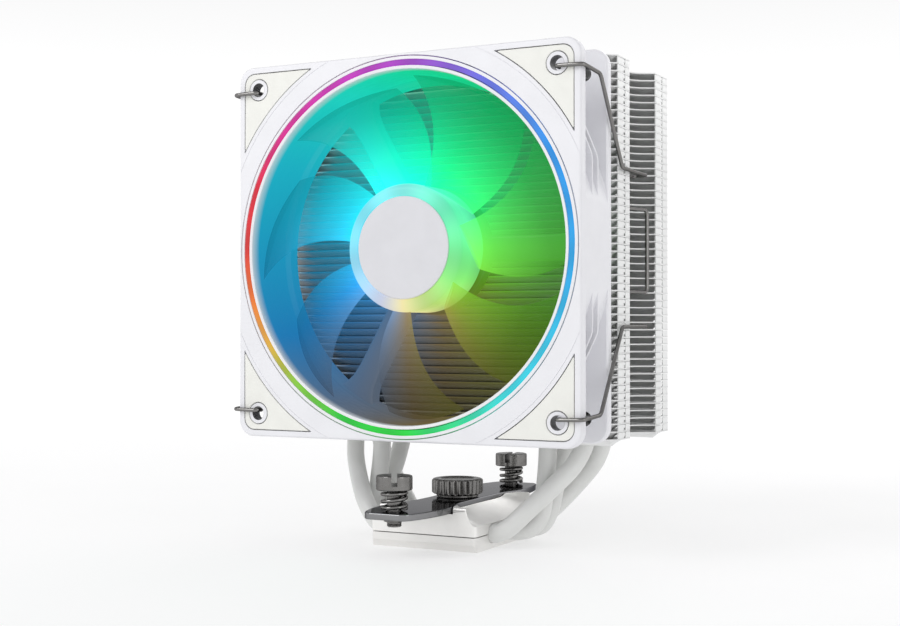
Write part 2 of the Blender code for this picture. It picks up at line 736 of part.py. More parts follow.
def heat_pipes():
    """Two outer pipes with long bends and two inner pipes with tight elbows."""
    for name, (base_y, leg_y), early in zip(("front", "rear"), OUTER_PIPES, (False, True)):
        heat_pipe(f"{name}_outer_heat_pipe", half_pipe(LONG_BEND, base_y, OUTER_LEG_X, leg_y, early))
    for name, (base_y, leg_y), early in zip(("front", "rear"), INNER_PIPES, (True, False)):
        heat_pipe(f"{name}_inner_heat_pipe", half_pipe(TIGHT_BEND, base_y, INNER_LEG_X, leg_y, early))


# ---------------------------------------------------------------- base
def pipe_grooves(name):
    """Cutter for the four grooves along X that hold the pipes."""
    centres = [base_y for base_y, _ in OUTER_PIPES + INNER_PIPES]
    rounds = [circle(PIPE_BORE_R, 10, (y, PIPE_Z)) for y in centres]
    return place(flat(name, rounds, 2 * (BASE_HALF_X + 2 * OVERCUT)), (0, 0, 0), SIDE_FACING)


def base_plate():
    """Contact plate: flat underneath, chamfered along its front and back edges."""
    top = PIPE_Z - GAP / 2
    inner = BASE_HALF_Y - BASE_CHAMFER_Y
    outline = [(-inner, 0), (inner, 0), (BASE_HALF_Y, BASE_CHAMFER_Z), (BASE_HALF_Y, top),
               (-BASE_HALF_Y, top), (-BASE_HALF_Y, BASE_CHAMFER_Z)]
    plate = place(flat("base_plate", [outline], 2 * BASE_HALF_X), (0, 0, 0), SIDE_FACING)
    part(cut(plate, pipe_grooves("plate_grooves")), SATIN_NICKEL)


def block_half_width(y, z):
    """Half width of the block at y and z: straight sides that curve in to an hourglass top."""
    top = WAIST_HALF + (HORN_HALF - WAIST_HALF) * abs(y / BASE_HALF_Y) ** SECTION_POWER
    rise = max(0.0, (z - BLOCK_SHOULDER) / (BLOCK_TOP - BLOCK_SHOULDER))
    return top + (BASE_HALF_X - top) * (1 - rise) ** 2


def bar_outline(grow):
    """Outline of the bracket bar, the same on both sides and at both ends."""
    quarter = [(width + grow, y) for y, width in BAR_HALF_WIDTHS]
    quarter[-1] = (quarter[-1][0], quarter[-1][1] + grow)
    right = [(x, -y) for x, y in reversed(quarter[1:])] + quarter
    return right + [(-x, y) for x, y in reversed(right)]


def base_block():
    """Upper block: a loft of sections with curved flanks, a channel for the bar and a screw hole."""
    stations = [BASE_HALF_Y * share for share in BLOCK_STATIONS]
    edit = bmesh.new()
    rings = []
    for z in (PIPE_Z + GAP / 2, *BLOCK_LEVELS):
        right = [(block_half_width(y, z), y) for y in stations]
        outline = right + [(-x, y) for x, y in reversed(right)]
        rings.append([edit.verts.new((x, y, z)) for x, y in outline])
    count = len(rings[0])
    for low, high in zip(rings, rings[1:]):
        for i in range(count):
            j = (i + 1) % count
            edit.faces.new((low[i], low[j], high[j], high[i]))
    edit.faces.new(list(reversed(rings[0])))
    edit.faces.new(rings[-1])
    mesh = bpy.data.meshes.new("base_block")
    edit.to_mesh(mesh)
    edit.free()
    block = add_object("base_block", mesh)
    cut(block, pipe_grooves("block_grooves"))
    channel_floor = BAR_BOTTOM - GAP
    channel = flat("bar_channel", [bar_outline(GAP)], CHANNEL_CUT_T)
    cut(block, place(channel, (0, 0, channel_floor + CHANNEL_CUT_T / 2)))
    hole = turned("thumb_screw_hole", disc_profile(THUMB_HOLE_R, CHANNEL_CUT_T, -BLOCK_HOLE_DEPTH), 12)
    cut(block, place(hole, (0, 0, channel_floor)))
    part(block, SATIN_NICKEL)


# ---------------------------------------------------------------- bracket bar and screws
def bracket_bar():
    """Flat bar across the block, with a hole for the thumb screw and one for each spring screw."""
    holes = [circle(BAR_SCREW_HOLE_R, 12, (0, side * BAR_SCREW_Y)) for side in (-1, 1)]
    outlines = [bar_outline(0), circle(THUMB_HOLE_R, 12)] + holes
    bar = flat("bracket_bar", outlines, BAR_TOP - BAR_BOTTOM)
    part(place(bar, (0, 0, (BAR_TOP + BAR_BOTTOM) / 2)), POLISHED)


def spring_screw(name, y, slot_angle):
    """Slotted screw with a coil spring under its head and a clip ring under the bar."""
    low, high = CLIP_GROOVE
    profile = [(0, HEAD_TOP), (HEAD_R - HEAD_CHAMFER, HEAD_TOP), (HEAD_R, HEAD_TOP - HEAD_CHAMFER),
               (HEAD_R, HEAD_BOTTOM), (SHANK_R, HEAD_BOTTOM), (SHANK_R, high), (NECK_R, high),
               (NECK_R, low), (SHANK_R, low), (SHANK_R, SHANK_BOTTOM + SHANK_CHAMFER),
               (SHANK_R - SHANK_CHAMFER, SHANK_BOTTOM), (0, SHANK_BOTTOM)]
    screw = place(turned(f"{name}_spring_screw", profile, 16), (0, y, 0))
    slot = box(f"{name}_slot", (SLOT_LENGTH, SLOT_W, 2 * SLOT_DEPTH), (0, y, HEAD_TOP))
    slot.rotation_euler = (0, 0, slot_angle)
    part(cut(screw, slot), STEEL)

    start = BAR_TOP + GAP + SPRING_WIRE_R
    end = HEAD_BOTTOM - GAP - SPRING_WIRE_R
    count = round(SPRING_TURNS * 10)
    helix = []
    for i in range(count + 1):
        angle = 2 * math.pi * SPRING_TURNS * i / count
        helix.append(Vector((SPRING_R * math.cos(angle), y + SPRING_R * math.sin(angle),
                             start + (end - start) * i / count)))
    part(rod(f"{name}_screw_spring", helix, SPRING_WIRE_R, 1), STEEL)

    clip = flat(f"{name}_screw_clip", [open_ring(SCREW_CLIP_R, NECK_R + GAP)], SCREW_CLIP_T)
    part(place(clip, (0, y, (low + high) / 2)), STEEL)


def thumb_screw():
    """Knurled screw that holds the bar down on the block, and its washer."""
    outline = []
    for tooth in range(KNURL_COUNT):
        for offset, radius in ((0, THUMB_R), (0.5, THUMB_R - KNURL_DEPTH)):
            angle = 2 * math.pi * (tooth + offset) / KNURL_COUNT
            outline.append((radius * math.cos(angle), radius * math.sin(angle)))
    screw = flat("thumb_screw", [outline], THUMB_TOP - THUMB_BOTTOM)
    place(screw, (0, 0, (THUMB_TOP + THUMB_BOTTOM) / 2))
    shank = disc_profile(THUMB_SHANK_R, THUMB_BOTTOM + OVERCUT, THUMB_SHANK_BOTTOM)
    part(join(screw, turned("thumb_shank", shank, 12)), STEEL)
    washer = flat("thumb_screw_washer", [circle(WASHER_R, 20), circle(THUMB_HOLE_R, 12)], WASHER_T)
    part(place(washer, (0, 0, BAR_TOP + GAP + WASHER_T / 2)), STEEL)


# ---------------------------------------------------------------- wire clips
def rounded_route(corners, radius, steps):
    """A route through corners, each replaced by a short arc-like curve of about radius."""
    route = [corners[0]]
    for before, corner, after in zip(corners, corners[1:], corners[2:]):
        to_before = before - corner
        to_after = after - corner
        reach = min(radius, to_before.length * 0.45, to_after.length * 0.45)
        first = corner + to_before.normalized() * reach
        last = corner + to_after.normalized() * reach
        for i in range(steps + 1):
            t = i / steps
            route.append(first.lerp(corner, t).lerp(corner.lerp(last, t), t))
    route.append(corners[-1])
    return route


def wire_clip(name, side):
    """Spring-wire clip: hooked into two screw holes, latched behind the front column of tabs."""
    upper = [(side * x, y, z) for x, y, z in CLIP_HOOK + CLIP_LATCH + CLIP_HANDLE]
    lower = [(x, y, -z) for x, y, z in reversed(upper)]
    corners = [Vector((x, y, FAN_Z + z)) for x, y, z in upper + lower]
    part(rod(name, rounded_route(corners, CLIP_BEND_R, 2), WIRE_R, 1), POLISHED)


# ---------------------------------------------------------------- the whole cooler
fan_frame()
corner_pads()
lit_ring()
rotor()
hub_cap()
rotor_inner_parts()
bearing()
stator()
fin_stack()
heat_pipes()
base_plate()
base_block()
bracket_bar()
spring_screw("front", -BAR_SCREW_Y, FRONT_SLOT_ANGLE)
spring_screw("rear", BAR_SCREW_Y, REAR_SLOT_ANGLE)
thumb_screw()
wire_clip("right_fan_clip", 1)
wire_clip("left_fan_clip", -1)
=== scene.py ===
"""A white tower cooler for a processor, with one clipped-on fan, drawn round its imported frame.

Metres, +Z up, the fan's open front towards -Y. New pieces are grids of points worked out with numpy.
"""

import math

import bmesh
import bpy
import numpy as np
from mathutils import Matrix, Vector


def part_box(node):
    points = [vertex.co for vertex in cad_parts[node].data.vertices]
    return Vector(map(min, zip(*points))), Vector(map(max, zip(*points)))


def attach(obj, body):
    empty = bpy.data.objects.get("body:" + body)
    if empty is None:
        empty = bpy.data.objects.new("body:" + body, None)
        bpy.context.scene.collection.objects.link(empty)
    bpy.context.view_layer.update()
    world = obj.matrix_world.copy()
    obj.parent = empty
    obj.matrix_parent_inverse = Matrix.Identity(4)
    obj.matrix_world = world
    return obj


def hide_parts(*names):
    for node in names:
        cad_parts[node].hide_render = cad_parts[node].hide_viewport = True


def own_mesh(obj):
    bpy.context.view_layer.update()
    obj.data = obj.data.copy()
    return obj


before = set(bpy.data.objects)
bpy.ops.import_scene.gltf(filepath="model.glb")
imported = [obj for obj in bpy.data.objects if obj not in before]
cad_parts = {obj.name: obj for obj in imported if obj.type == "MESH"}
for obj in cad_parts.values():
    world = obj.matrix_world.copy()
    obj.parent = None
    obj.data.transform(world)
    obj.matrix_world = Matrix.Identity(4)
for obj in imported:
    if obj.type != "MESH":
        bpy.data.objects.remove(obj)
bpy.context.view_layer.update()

MM = 0.001
TAU = 2 * math.pi
WORLD_STRENGTH = 1.05

# ---- places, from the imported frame
FAN_LOW, FAN_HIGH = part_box("fan_frame")
FAN_Z = (FAN_LOW.z + FAN_HIGH.z) / 2
FAN_HALF = (FAN_HIGH.x - FAN_LOW.x) / 2
FAN_FRONT = FAN_LOW.y
FAN_REAR = FAN_HIGH.y
FIN_LOW, FIN_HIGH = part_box("fin_stack")
PIPE_LOW, PIPE_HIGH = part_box("front_outer_heat_pipe")
OUTER_LEG_X = 43 * MM
PIPE_R = (PIPE_HIGH.x - PIPE_LOW.x) / 2 - OUTER_LEG_X
BLOCK_LOW, BLOCK_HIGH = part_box("base_block")
PLATE_LOW, PLATE_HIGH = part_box("base_plate")
BAR_LOW, BAR_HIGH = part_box("bracket_bar")
SCREW_LOW, SCREW_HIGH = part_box("front_spring_screw")
SCREW_Y = -(SCREW_LOW.y + SCREW_HIGH.y) / 2
SPRING_LOW, SPRING_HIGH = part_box("front_screw_spring")
THUMB_LOW, THUMB_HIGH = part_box("thumb_screw")
HUB_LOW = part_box("rotor")[0]
CAP_LOW, CAP_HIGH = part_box("hub_cap")
RING_LOW, RING_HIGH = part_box("light_ring")
TRIM_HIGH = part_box("ring_trim")[1]

# ---- sizes of the detail
FAN_CORNER_R = 5.0 * MM
EDGE_R = 0.8 * MM
FRONT_FLANGE = 4.0 * MM
REAR_FLANGE = 3.5 * MM
DUCT_R = 55.0 * MM
DUCT_REAR_R = 53.5 * MM
DUCT_STEP = 6.0 * MM
DUCT_OUTER_R = 61.4 * MM
CHANNEL_R = (56.1 * MM, 59.3 * MM)
CHANNEL_DEPTH = 3.3 * MM
HOLE_AT = 52.5 * MM
HOLE_R = 2.2 * MM
COLLAR_R = 3.3 * MM
PAD_HALF = 57.7 * MM
PAD_ARC_R = 66.4 * MM
PAD_CORNER_R = 3.5 * MM
PAD_T = 1.4 * MM
GAP = 0.3 * MM
SEAM_R = 64.9 * MM
MOUNT_R = 20.5 * MM
STRUT_ANGLES = np.radians([0, 120, 240])
HUB_R = 20.0 * MM
BLADE_COUNT = 7
BLADE_RADII = (19.6 * MM, 53.5 * MM)
BLADE_DEPTHS = (-36.0 * MM, -22.5 * MM)
BLADE_SPAN = math.radians(37)
BLADE_SWEEP = math.radians(17)
FIN_COUNT = 50
FIN_T = 0.4 * MM
FIN_GROOVES = ((-12.0 * MM, -1.5 * MM), (27.5 * MM, 36.5 * MM))
FIN_GROOVE_DEPTH = 2.0 * MM
TAB_T = 0.35 * MM
INNER_LEG_X = 31.0 * MM
LEG_PLACES = ((OUTER_LEG_X, 6.5 * MM), (OUTER_LEG_X, 22.5 * MM),
              (INNER_LEG_X, 4.0 * MM), (INNER_LEG_X, 19.0 * MM))
PIPE_BASE_Y = (12.5 * MM, 4.2 * MM)      # the outer and the inner pipes' distance from the middle of the base
PIPE_AXIS_Z = 4.8 * MM
BAR_HOLE_R = 2.65 * MM
THUMB_HOLE_R = 3.4 * MM
HEAD_UNDER_Z = 20.8 * MM
SHANK_R = 2.25 * MM
NECK_R = 1.65 * MM
NECK_ENDS = (10.9 * MM, 11.8 * MM)
THREAD_PITCH = 0.35 * MM
THREAD_DEPTH = 0.14 * MM
COIL_WIRE_R = 0.58 * MM
COIL_TURNS = 3.4
NUT_R = 8.5 * MM
NUT_UNDER_Z = 15.3 * MM
NUT_SHANK_R = 2.9 * MM
KNURLS = 24
KNURL_DEPTH = 0.75 * MM
WIRE_R = 0.62 * MM


# ---- curves
def curved_corners(points, radius, steps=4, closed=False):
    """Points with each corner C replaced by (1-t)^2 A + 2t(1-t) C + t^2 B, where A and B lie radius away."""
    points = np.asarray(points, float)
    before = np.roll(points, 1, 0) - points
    after = np.roll(points, -1, 0) - points
    before_length = np.linalg.norm(before, axis=1)
    after_length = np.linalg.norm(after, axis=1)
    reach = np.minimum(radius, 0.45 * np.minimum(before_length, after_length))
    start = points + before * (reach / before_length)[:, None]
    end = points + after * (reach / after_length)[:, None]
    t = np.linspace(0, 1, steps + 1)[None, :, None]
    curve = (1 - t) ** 2 * start[:, None] + 2 * t * (1 - t) * points[:, None] + t ** 2 * end[:, None]
    if closed:
        return curve.reshape(-1, points.shape[1])
    return np.vstack([points[:1], curve[1:-1].reshape(-1, points.shape[1]), points[-1:]])


def smooth_curve(points, steps):
    """Catmull-Rom: 0.5 (2b + (c-a) t + (2a-5b+4c-d) t^2 + (3b-a-3c+d) t^3) between each pair b, c."""
    p = np.asarray(points, float)
    knots = np.vstack([2 * p[:1] - p[1:2], p, 2 * p[-1:] - p[-2:-1]])
    a, b, c, d = (knots[i:len(knots) - 3 + i, None] for i in range(4))
    t = (np.arange(steps) / steps)[None, :, None]
    curve = 0.5 * (2 * b + (c - a) * t + (2 * a - 5 * b + 4 * c - d) * t ** 2
                   + (3 * b - a - 3 * c + d) * t ** 3)
    return np.vstack([curve.reshape(-1, p.shape[1]), p[-1:]])


def evenly(points, count, closed=False):
    """count points spaced evenly along a route, found by its running length."""
    points = np.asarray(points, float)
    if closed:
        points = np.vstack([points, points[:1]])
    run = np.concatenate([[0], np.cumsum(np.linalg.norm(np.diff(points, axis=0), axis=1))])
    where = np.linspace(0, run[-1], count, endpoint=not closed)
    return np.stack([np.interp(where, run, column) for column in points.T], -1)


def arc(radius, start, end, count, centre=(0, 0)):
    """Points (cos a, sin a) * radius about a centre, a from start to end in degrees."""
    a = np.radians(np.linspace(start, end, count))
    return np.stack([centre[0] + radius * np.cos(a), centre[1] + radius * np.sin(a)], -1)


def smooth_step(x):
    """3x^2 - 2x^3 between 0 and 1."""
    x = np.clip(x, 0, 1)
    return x * x * (3 - 2 * x)


# ---- grids of points
def points_of(x, y, z):
    """Points from three arrays of places that fit one another's shapes."""
    return np.stack(np.broadcast_arrays(x, y, z), -1)


def round_fan(radius, angle, y):
    """Points about the fan's axis: x = r cos a, z = FAN_Z + r sin a."""
    return points_of(radius * np.cos(angle), y, FAN_Z + radius * np.sin(angle))


def round_upright(radius, angle, y, z):
    """Points about a vertical axis at y: r cos a, y + r sin a."""
    return points_of(radius * np.cos(angle), y + radius * np.sin(angle), z)


def turned_on_fan(profile, steps=192):
    """Profile of (radius, y) turned about the fan's axis."""
    radius, depth = np.asarray(profile, float).T[:, :, None]
    return round_fan(radius, np.arange(steps) * TAU / steps, depth)


def turned_upright(profile, y=0.0, steps=64, ripple=0.0, teeth=1):
    """Profile of (radius, z) turned about a vertical axis; teeth: r - ripple (1 - |cos(teeth a / 2)|)."""
    radius, height = np.asarray(profile, float).T[:, :, None]
    a = np.arange(steps) * TAU / steps
    r = radius - np.asarray(ripple).reshape(-1, 1) * (1 - np.abs(np.cos(teeth * a / 2)))
    return round_upright(r, a, y, height)


def tube(path, radius, sides=20):
    """A circle of radius carried along a path, square to it, turned as little as possible; the ends close."""
    path = np.asarray(path, float)
    radius = np.broadcast_to(radius, len(path)).astype(float)
    tangents = np.gradient(path, axis=0)
    tangents /= np.linalg.norm(tangents, axis=1)[:, None]
    side = np.cross(tangents[0], (0.31, 0.83, 0.46))
    sides_out = []
    for tangent in tangents:
        side = side - tangent * (side @ tangent)
        side = side / np.linalg.norm(side)
        sides_out.append(side)
    across = np.array(sides_out)[:, None]
    up = np.cross(tangents, across[:, 0])[:, None]
    a = (np.arange(sides) * TAU / sides)[None, :, None]
    rings = path[:, None] + radius[:, None, None] * (across * np.cos(a) + up * np.sin(a))
    return closed_ends(rings)


def closed_ends(rings):
    """Rings of points with one more at each end, drawn in to the end ring's middle."""
    first = np.broadcast_to(rings[:1].mean(1, keepdims=True), rings[:1].shape)
    last = np.broadcast_to(rings[-1:].mean(1, keepdims=True), rings[-1:].shape)
    return np.vstack([first, rings, last])


def prism(outline, low, high, axis):
    """A flat outline carried from low to high along an axis (0, 1 or 2); its ends close on their middles."""
    outline = np.asarray(outline, float)
    rings = np.insert(np.broadcast_to(outline, (2, *outline.shape)), axis, 0.0, axis=2)
    rings[0, :, axis] = low
    rings[1, :, axis] = high
    return closed_ends(rings)


def along_y(y, right):
    """The right half of a section, as (x, z) at each y, mirrored and carried along Y; its ends close."""
    left = [(-x, z) for x, z in reversed(right)]
    return closed_ends(np.stack([points_of(x, y, z) for x, z in right + left], 1))


def quarter_turns(points):
    """The same points four times, turned by 0, 90, 180 and 270 degrees about the fan's axis."""
    x, y, z = points[..., 0], points[..., 1], points[..., 2] - FAN_Z
    return np.stack([points_of(c * x - s * z, y, s * x + c * z + FAN_Z)
                     for c, s in ((1, 0), (0, 1), (-1, 0), (0, -1))])


# ---- meshes
def quads_of(rows, columns, wrap_rows):
    """Corner numbers of each quad of a grid whose last column joins its first, and its last row if asked."""
    index = np.arange(rows * columns).reshape(rows, columns)
    if wrap_rows:
        index = np.vstack([index, index[:1]])
    index = np.hstack([index, index[:, :1]])
    return np.stack([index[:-1, :-1], index[:-1, 1:], index[1:, 1:], index[1:, :-1]], -1).reshape(-1, 4)


def linked(name, data):
    """A new object for a mesh, light or camera, put in the scene."""
    obj = bpy.data.objects.new(name, data)
    bpy.context.scene.collection.objects.link(obj)
    return obj


def solid(name, grids, wrap_rows=False):
    """One mesh object from grids of points; a grid with a leading axis is that many copies of one shape."""
    points, faces, start = [], [], 0
    for grid in grids:
        grid = grid.reshape(-1, *grid.shape[-3:])
        copies, rows, columns, _ = grid.shape
        quads = quads_of(rows, columns, wrap_rows)
        offsets = start + rows * columns * np.arange(copies)
        points.append(grid.reshape(-1, 3))
        faces.append((quads[None] + offsets[:, None, None]).reshape(-1, 4))
        start += copies * rows * columns
    mesh = bpy.data.meshes.new(name)
    mesh.from_pydata(np.vstack(points).tolist(), [], np.vstack(faces).tolist())
    edit = bmesh.new()
    edit.from_mesh(mesh)
    bmesh.ops.remove_doubles(edit, verts=edit.verts, dist=2e-7)
    bmesh.ops.dissolve_degenerate(edit, edges=edit.edges, dist=2e-7)
    bmesh.ops.recalc_face_normals(edit, faces=edit.faces)
    edit.to_mesh(mesh)
    edit.free()
    return linked(name, mesh)


def joined(name, first, *others):
    """Several solids as one mesh object."""
    edit = bmesh.new()
    for obj in (first, *others):
        edit.from_mesh(obj.data)
        bpy.data.objects.remove(obj)
    mesh = bpy.data.meshes.new(name)
    edit.to_mesh(mesh)
    edit.free()
    return linked(name, mesh)


def carved(obj, *cutters):
    """The piece with the cutters taken out of it by Booleans, kept as its mesh."""
    for cutter in cutters:
        modifier = obj.modifiers.new(cutter.name, "BOOLEAN")
        modifier.operation = "DIFFERENCE"
        modifier.solver = "MANIFOLD"
        modifier.object = cutter
    depsgraph = bpy.context.evaluated_depsgraph_get()
    mesh = bpy.data.meshes.new_from_object(obj.evaluated_get(depsgraph))
    obj.modifiers.clear()
    obj.data = mesh
    for cutter in cutters:
        bpy.data.objects.remove(cutter)
    return obj


def fitted(obj, finish, body, slot, *nodes, sharp=34, weighted=True):
    """Give a piece its finish, its shading and its place in the assembly."""
    obj.data.materials.clear()
    obj.data.materials.append(finish)
    obj.data.shade_smooth()
    obj.data.set_sharp_from_angle(angle=math.radians(sharp))
    if weighted:
        shading = obj.modifiers.new("flat faces stay flat", "WEIGHTED_NORMAL")
        shading.keep_sharp = True
    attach(obj, body)
    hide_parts(*nodes)
    return obj


# ---- finishes
def seen(red, green, blue):
    """A colour given as it looks on a screen, 0 to 1, as the linear values that a shader takes."""
    return tuple(((c + 0.055) / 1.055) ** 2.4 if c > 0.04045 else c / 12.92 for c in (red, green, blue))


class Finish:
    """A Principled material and its node tree; its patterns are in metres on Object coordinates."""

    def __init__(self, name, colour, **sockets):
        self.material = bpy.data.materials.new(name)
        self.material.use_nodes = True
        self.tree = self.material.node_tree
        self.shader = self.tree.nodes["Principled BSDF"]
        self.shader.inputs["Base Color"].default_value = (*colour, 1)
        self.colour = colour
        for socket, value in sockets.items():
            self.shader.inputs[socket.replace("_", " ")].default_value = value
        self.place = self.node("TexCoord").outputs["Object"]

    def node(self, kind, **inputs):
        """A shader node with some of its inputs linked or set."""
        made = self.tree.nodes.new("ShaderNode" + kind)
        for name, value in inputs.items():
            self.put(made.inputs[name.replace("_", " ")], value)
        return made

    def put(self, socket, value):
        """Link an output to a socket, or set the socket to a number."""
        if isinstance(value, bpy.types.NodeSocket):
            self.tree.links.new(value, socket)
        else:
            socket.default_value = value

    def math(self, operation, first, second=0.0, third=0.0):
        """One Math node's result."""
        made = self.node("Math")
        made.operation = operation
        for socket, value in zip(made.inputs, (first, second, third)):
            self.put(socket, value)
        return made.outputs[0]

    def length(self, first, second):
        """Root of the sum of two squares."""
        squares = self.math("MULTIPLY", first, first), self.math("MULTIPLY", second, second)
        return self.math("SQRT", self.math("ADD", *squares))

    def stretched(self, scale):
        """Object coordinates scaled along each axis."""
        mapping = self.node("Mapping", Vector=self.place)
        mapping.inputs["Scale"].default_value = scale
        return mapping.outputs["Vector"]

    def grain(self, size, detail=3.0, scale=(1, 1, 1)):
        """Noise whose features are about size across."""
        vector = self.place if scale == (1, 1, 1) else self.stretched(scale)
        return self.node("TexNoise", Vector=vector, Scale=1 / size, Detail=detail).outputs["Fac"]

    def ramp(self, factor, stops):
        """Colours or grey values blended along a factor; stops are (position, colour)."""
        made = self.node("ValToRGB", Fac=factor)
        elements = made.color_ramp.elements
        while len(elements) < len(stops):
            elements.new(0.5)
        for element, (position, colour) in zip(elements, stops):
            element.position = position
            element.color = (*colour, 1) if hasattr(colour, "__len__") else (colour, colour, colour, 1)
        return made.outputs["Color"]

    def mottled(self, size, amount):
        """Base colour that drifts by amount either way over patches of a size."""
        low = tuple(c * (1 - amount) for c in self.colour)
        high = tuple(min(1.0, c * (1 + amount)) for c in self.colour)
        self.put(self.shader.inputs["Base Color"], self.ramp(self.grain(size), ((0.3, low), (0.7, high))))
        return self

    def painted(self):
        """The base colour as it stands."""
        return self.shader.inputs["Base Color"].links[0].from_socket

    def shaded(self, share):
        """Base colour multiplied by a share."""
        self.put(self.shader.inputs["Base Color"], self.dimmed(self.painted(), share))
        return self

    def worn(self, size, low, high, scale=(1, 1, 1)):
        """Roughness that drifts between two values."""
        fine = self.ramp(self.grain(size, 4.0, scale), ((0.3, low), (0.7, high)))
        self.put(self.shader.inputs["Roughness"], fine)
        return self

    def bumped(self, size, height, scale=(1, 1, 1)):
        """Bump of noise with features of a size and a height."""
        made = self.node("Bump", Height=self.grain(size, 2.0, scale), Strength=1.0, Distance=height)
        last = self.shader.inputs["Normal"].links
        if last:
            self.put(made.inputs["Normal"], last[0].from_socket)
        self.put(self.shader.inputs["Normal"], made.outputs["Normal"])
        return self

    def parts_of_place(self):
        """x, y and height above the fan's axis."""
        split = self.node("SeparateXYZ", Vector=self.place).outputs
        return split["X"], split["Y"], self.math("SUBTRACT", split["Z"], FAN_Z)

    def around_fan(self, stops):
        """Colours by angle about the fan's axis, from (degrees counter-clockwise from +X, seen colour)."""
        x, _, z = self.parts_of_place()
        turn = self.math("MULTIPLY_ADD", self.math("ARCTAN2", z, x), 1 / TAU, 0.5)
        placed = sorted((degrees / 360 + 0.5, seen(*colour)) for degrees, colour in stops)
        wrapped = [(0.0, placed[-1][1])] + placed if placed[0][0] > 0 else placed
        return self.ramp(turn, wrapped)

    def rippled(self, count, height, middle):
        """Brightness that rises and falls count times round the fan's axis."""
        x, _, z = self.parts_of_place()
        wave = self.math("SINE", self.math("MULTIPLY", self.math("ARCTAN2", z, x), count))
        return self.math("MULTIPLY_ADD", wave, height, middle)

    def fan_radius(self):
        """Distance from the fan's axis."""
        x, _, z = self.parts_of_place()
        return self.length(x, z)

    def faded_outwards(self, *stops):
        """Brightness from the hub's wall to the blades' tips."""
        return self.ramp(self.between(self.fan_radius(), 18 * MM, 54 * MM), stops)

    def between(self, value, low, high):
        """0 below low, 1 above high, straight between; turned round if low is above high."""
        made = self.node("MapRange", Value=value)
        made.clamp = True
        made.inputs["From Min"].default_value = low
        made.inputs["From Max"].default_value = high
        return made.outputs["Result"]

    def dimmed(self, colour, *factors):
        """A colour multiplied by one or more factors."""
        for factor in factors:
            scaled = self.node("VectorMath", Vector=colour)
            scaled.operation = "SCALE"
            self.put(scaled.inputs["Scale"], factor)
            colour = scaled.outputs["Vector"]
        return colour

    def bathed(self, share, tint, strength, *fades):
        """The fan's coloured light on a share of the surface: it tints the base colour and is given off."""
        light = self.around_fan(GLOW_COLOURS)
        mix = self.node("Mix")
        mix.data_type = "RGBA"
        self.put(mix.inputs[0], share)
        self.put(mix.inputs[6], self.painted())
        self.put(mix.inputs[7], self.dimmed(light, tint))
        self.put(self.shader.inputs["Base Color"], mix.outputs[2])
        return self.glowing(self.dimmed(light, share, *fades), strength)

    def glowing(self, colour, strength):
        """Light given off."""
        self.put(self.shader.inputs["Emission Color"], colour)
        self.shader.inputs["Emission Strength"].default_value = strength
        return self


RING_COLOURS = ((-180, (0.86, 0.20, 0.16)), (-165, (0.93, 0.45, 0.13)), (-150, (0.90, 0.66, 0.22)),
                (-132, (0.52, 0.78, 0.20)), (-112, (0.10, 0.78, 0.20)), (-88, (0.10, 0.84, 0.22)),
                (-70, (0.16, 0.85, 0.55)), (-50, (0.20, 0.84, 0.88)), (-10, (0.12, 0.66, 0.90)),
                (30, (0.14, 0.58, 0.92)), (62, (0.42, 0.42, 0.88)), (85, (0.62, 0.26, 0.78)),
                (110, (0.78, 0.18, 0.74)), (138, (0.84, 0.12, 0.56)), (158, (0.88, 0.09, 0.20)),
                (180, (0.86, 0.20, 0.16)))
GLOW_COLOURS = ((-180, (0.12, 0.62, 0.78)), (-150, (0.14, 0.50, 0.74)), (-120, (0.34, 0.42, 0.52)),
                (-90, (0.42, 0.36, 0.22)), (-60, (0.42, 0.44, 0.16)), (-30, (0.36, 0.58, 0.14)),
                (0, (0.34, 0.74, 0.26)), (30, (0.20, 0.78, 0.36)), (60, (0.08, 0.82, 0.46)),
                (90, (0.08, 0.86, 0.62)), (120, (0.12, 0.84, 0.78)), (150, (0.12, 0.72, 0.80)),
                (180, (0.12, 0.62, 0.78)))
HUB_COLOURS = ((-180, (0.50, 0.90, 1.00)), (-140, (0.66, 0.86, 1.00)), (-115, (0.84, 0.86, 0.96)),
               (-90, (0.94, 0.88, 0.62)), (-60, (0.76, 0.92, 0.46)), (-30, (0.54, 0.95, 0.46)),
               (0, (0.42, 0.98, 0.60)), (35, (0.38, 0.98, 0.74)), (80, (0.48, 0.98, 0.92)),
               (120, (0.48, 0.95, 1.00)), (150, (0.46, 0.92, 1.00)), (180, (0.50, 0.90, 1.00)))


def white_frame_plastic():
    """Fine-textured white moulding with a lavender cast, lit from inside the duct, with painted shade inside
    the corner screw holes.
    """
    f = Finish("white frame plastic", (0.77, 0.77, 0.80), Specular_IOR_Level=0.45)
    f.mottled(9 * MM, 0.018).worn(2.2 * MM, 0.36, 0.50)
    f.bumped(0.28 * MM, 0.012 * MM).bumped(7 * MM, 0.05 * MM)
    x, y, z = f.parts_of_place()
    # painted shade: the base colour falls to 8 % inside each corner screw hole, out to HOLE_R from its axis
    across, up = (f.math("SUBTRACT", f.math("ABSOLUTE", part), HOLE_AT) for part in (x, z))
    reach = f.length(across, up)
    f.shaded(f.ramp(f.between(reach, HOLE_R, HOLE_R + 0.1 * MM), ((0, 0.08), (1, 1.0))))
    inside = f.between(f.fan_radius(), DUCT_R + 0.5 * MM, DUCT_R + 0.1 * MM)
    lit = f.math("MULTIPLY", inside, f.between(y, FAN_FRONT + 0.5 * MM, FAN_FRONT + 4 * MM))
    return f.bathed(lit, 0.08, 0.8).material


def ivory_pad_rubber():
    """Matt ivory rubber with a fine skin."""
    f = Finish("ivory pad rubber", (0.79, 0.79, 0.75), Specular_IOR_Level=0.35)
    return f.mottled(5 * MM, 0.02).worn(0.8 * MM, 0.52, 0.68).bumped(0.16 * MM, 0.014 * MM).material


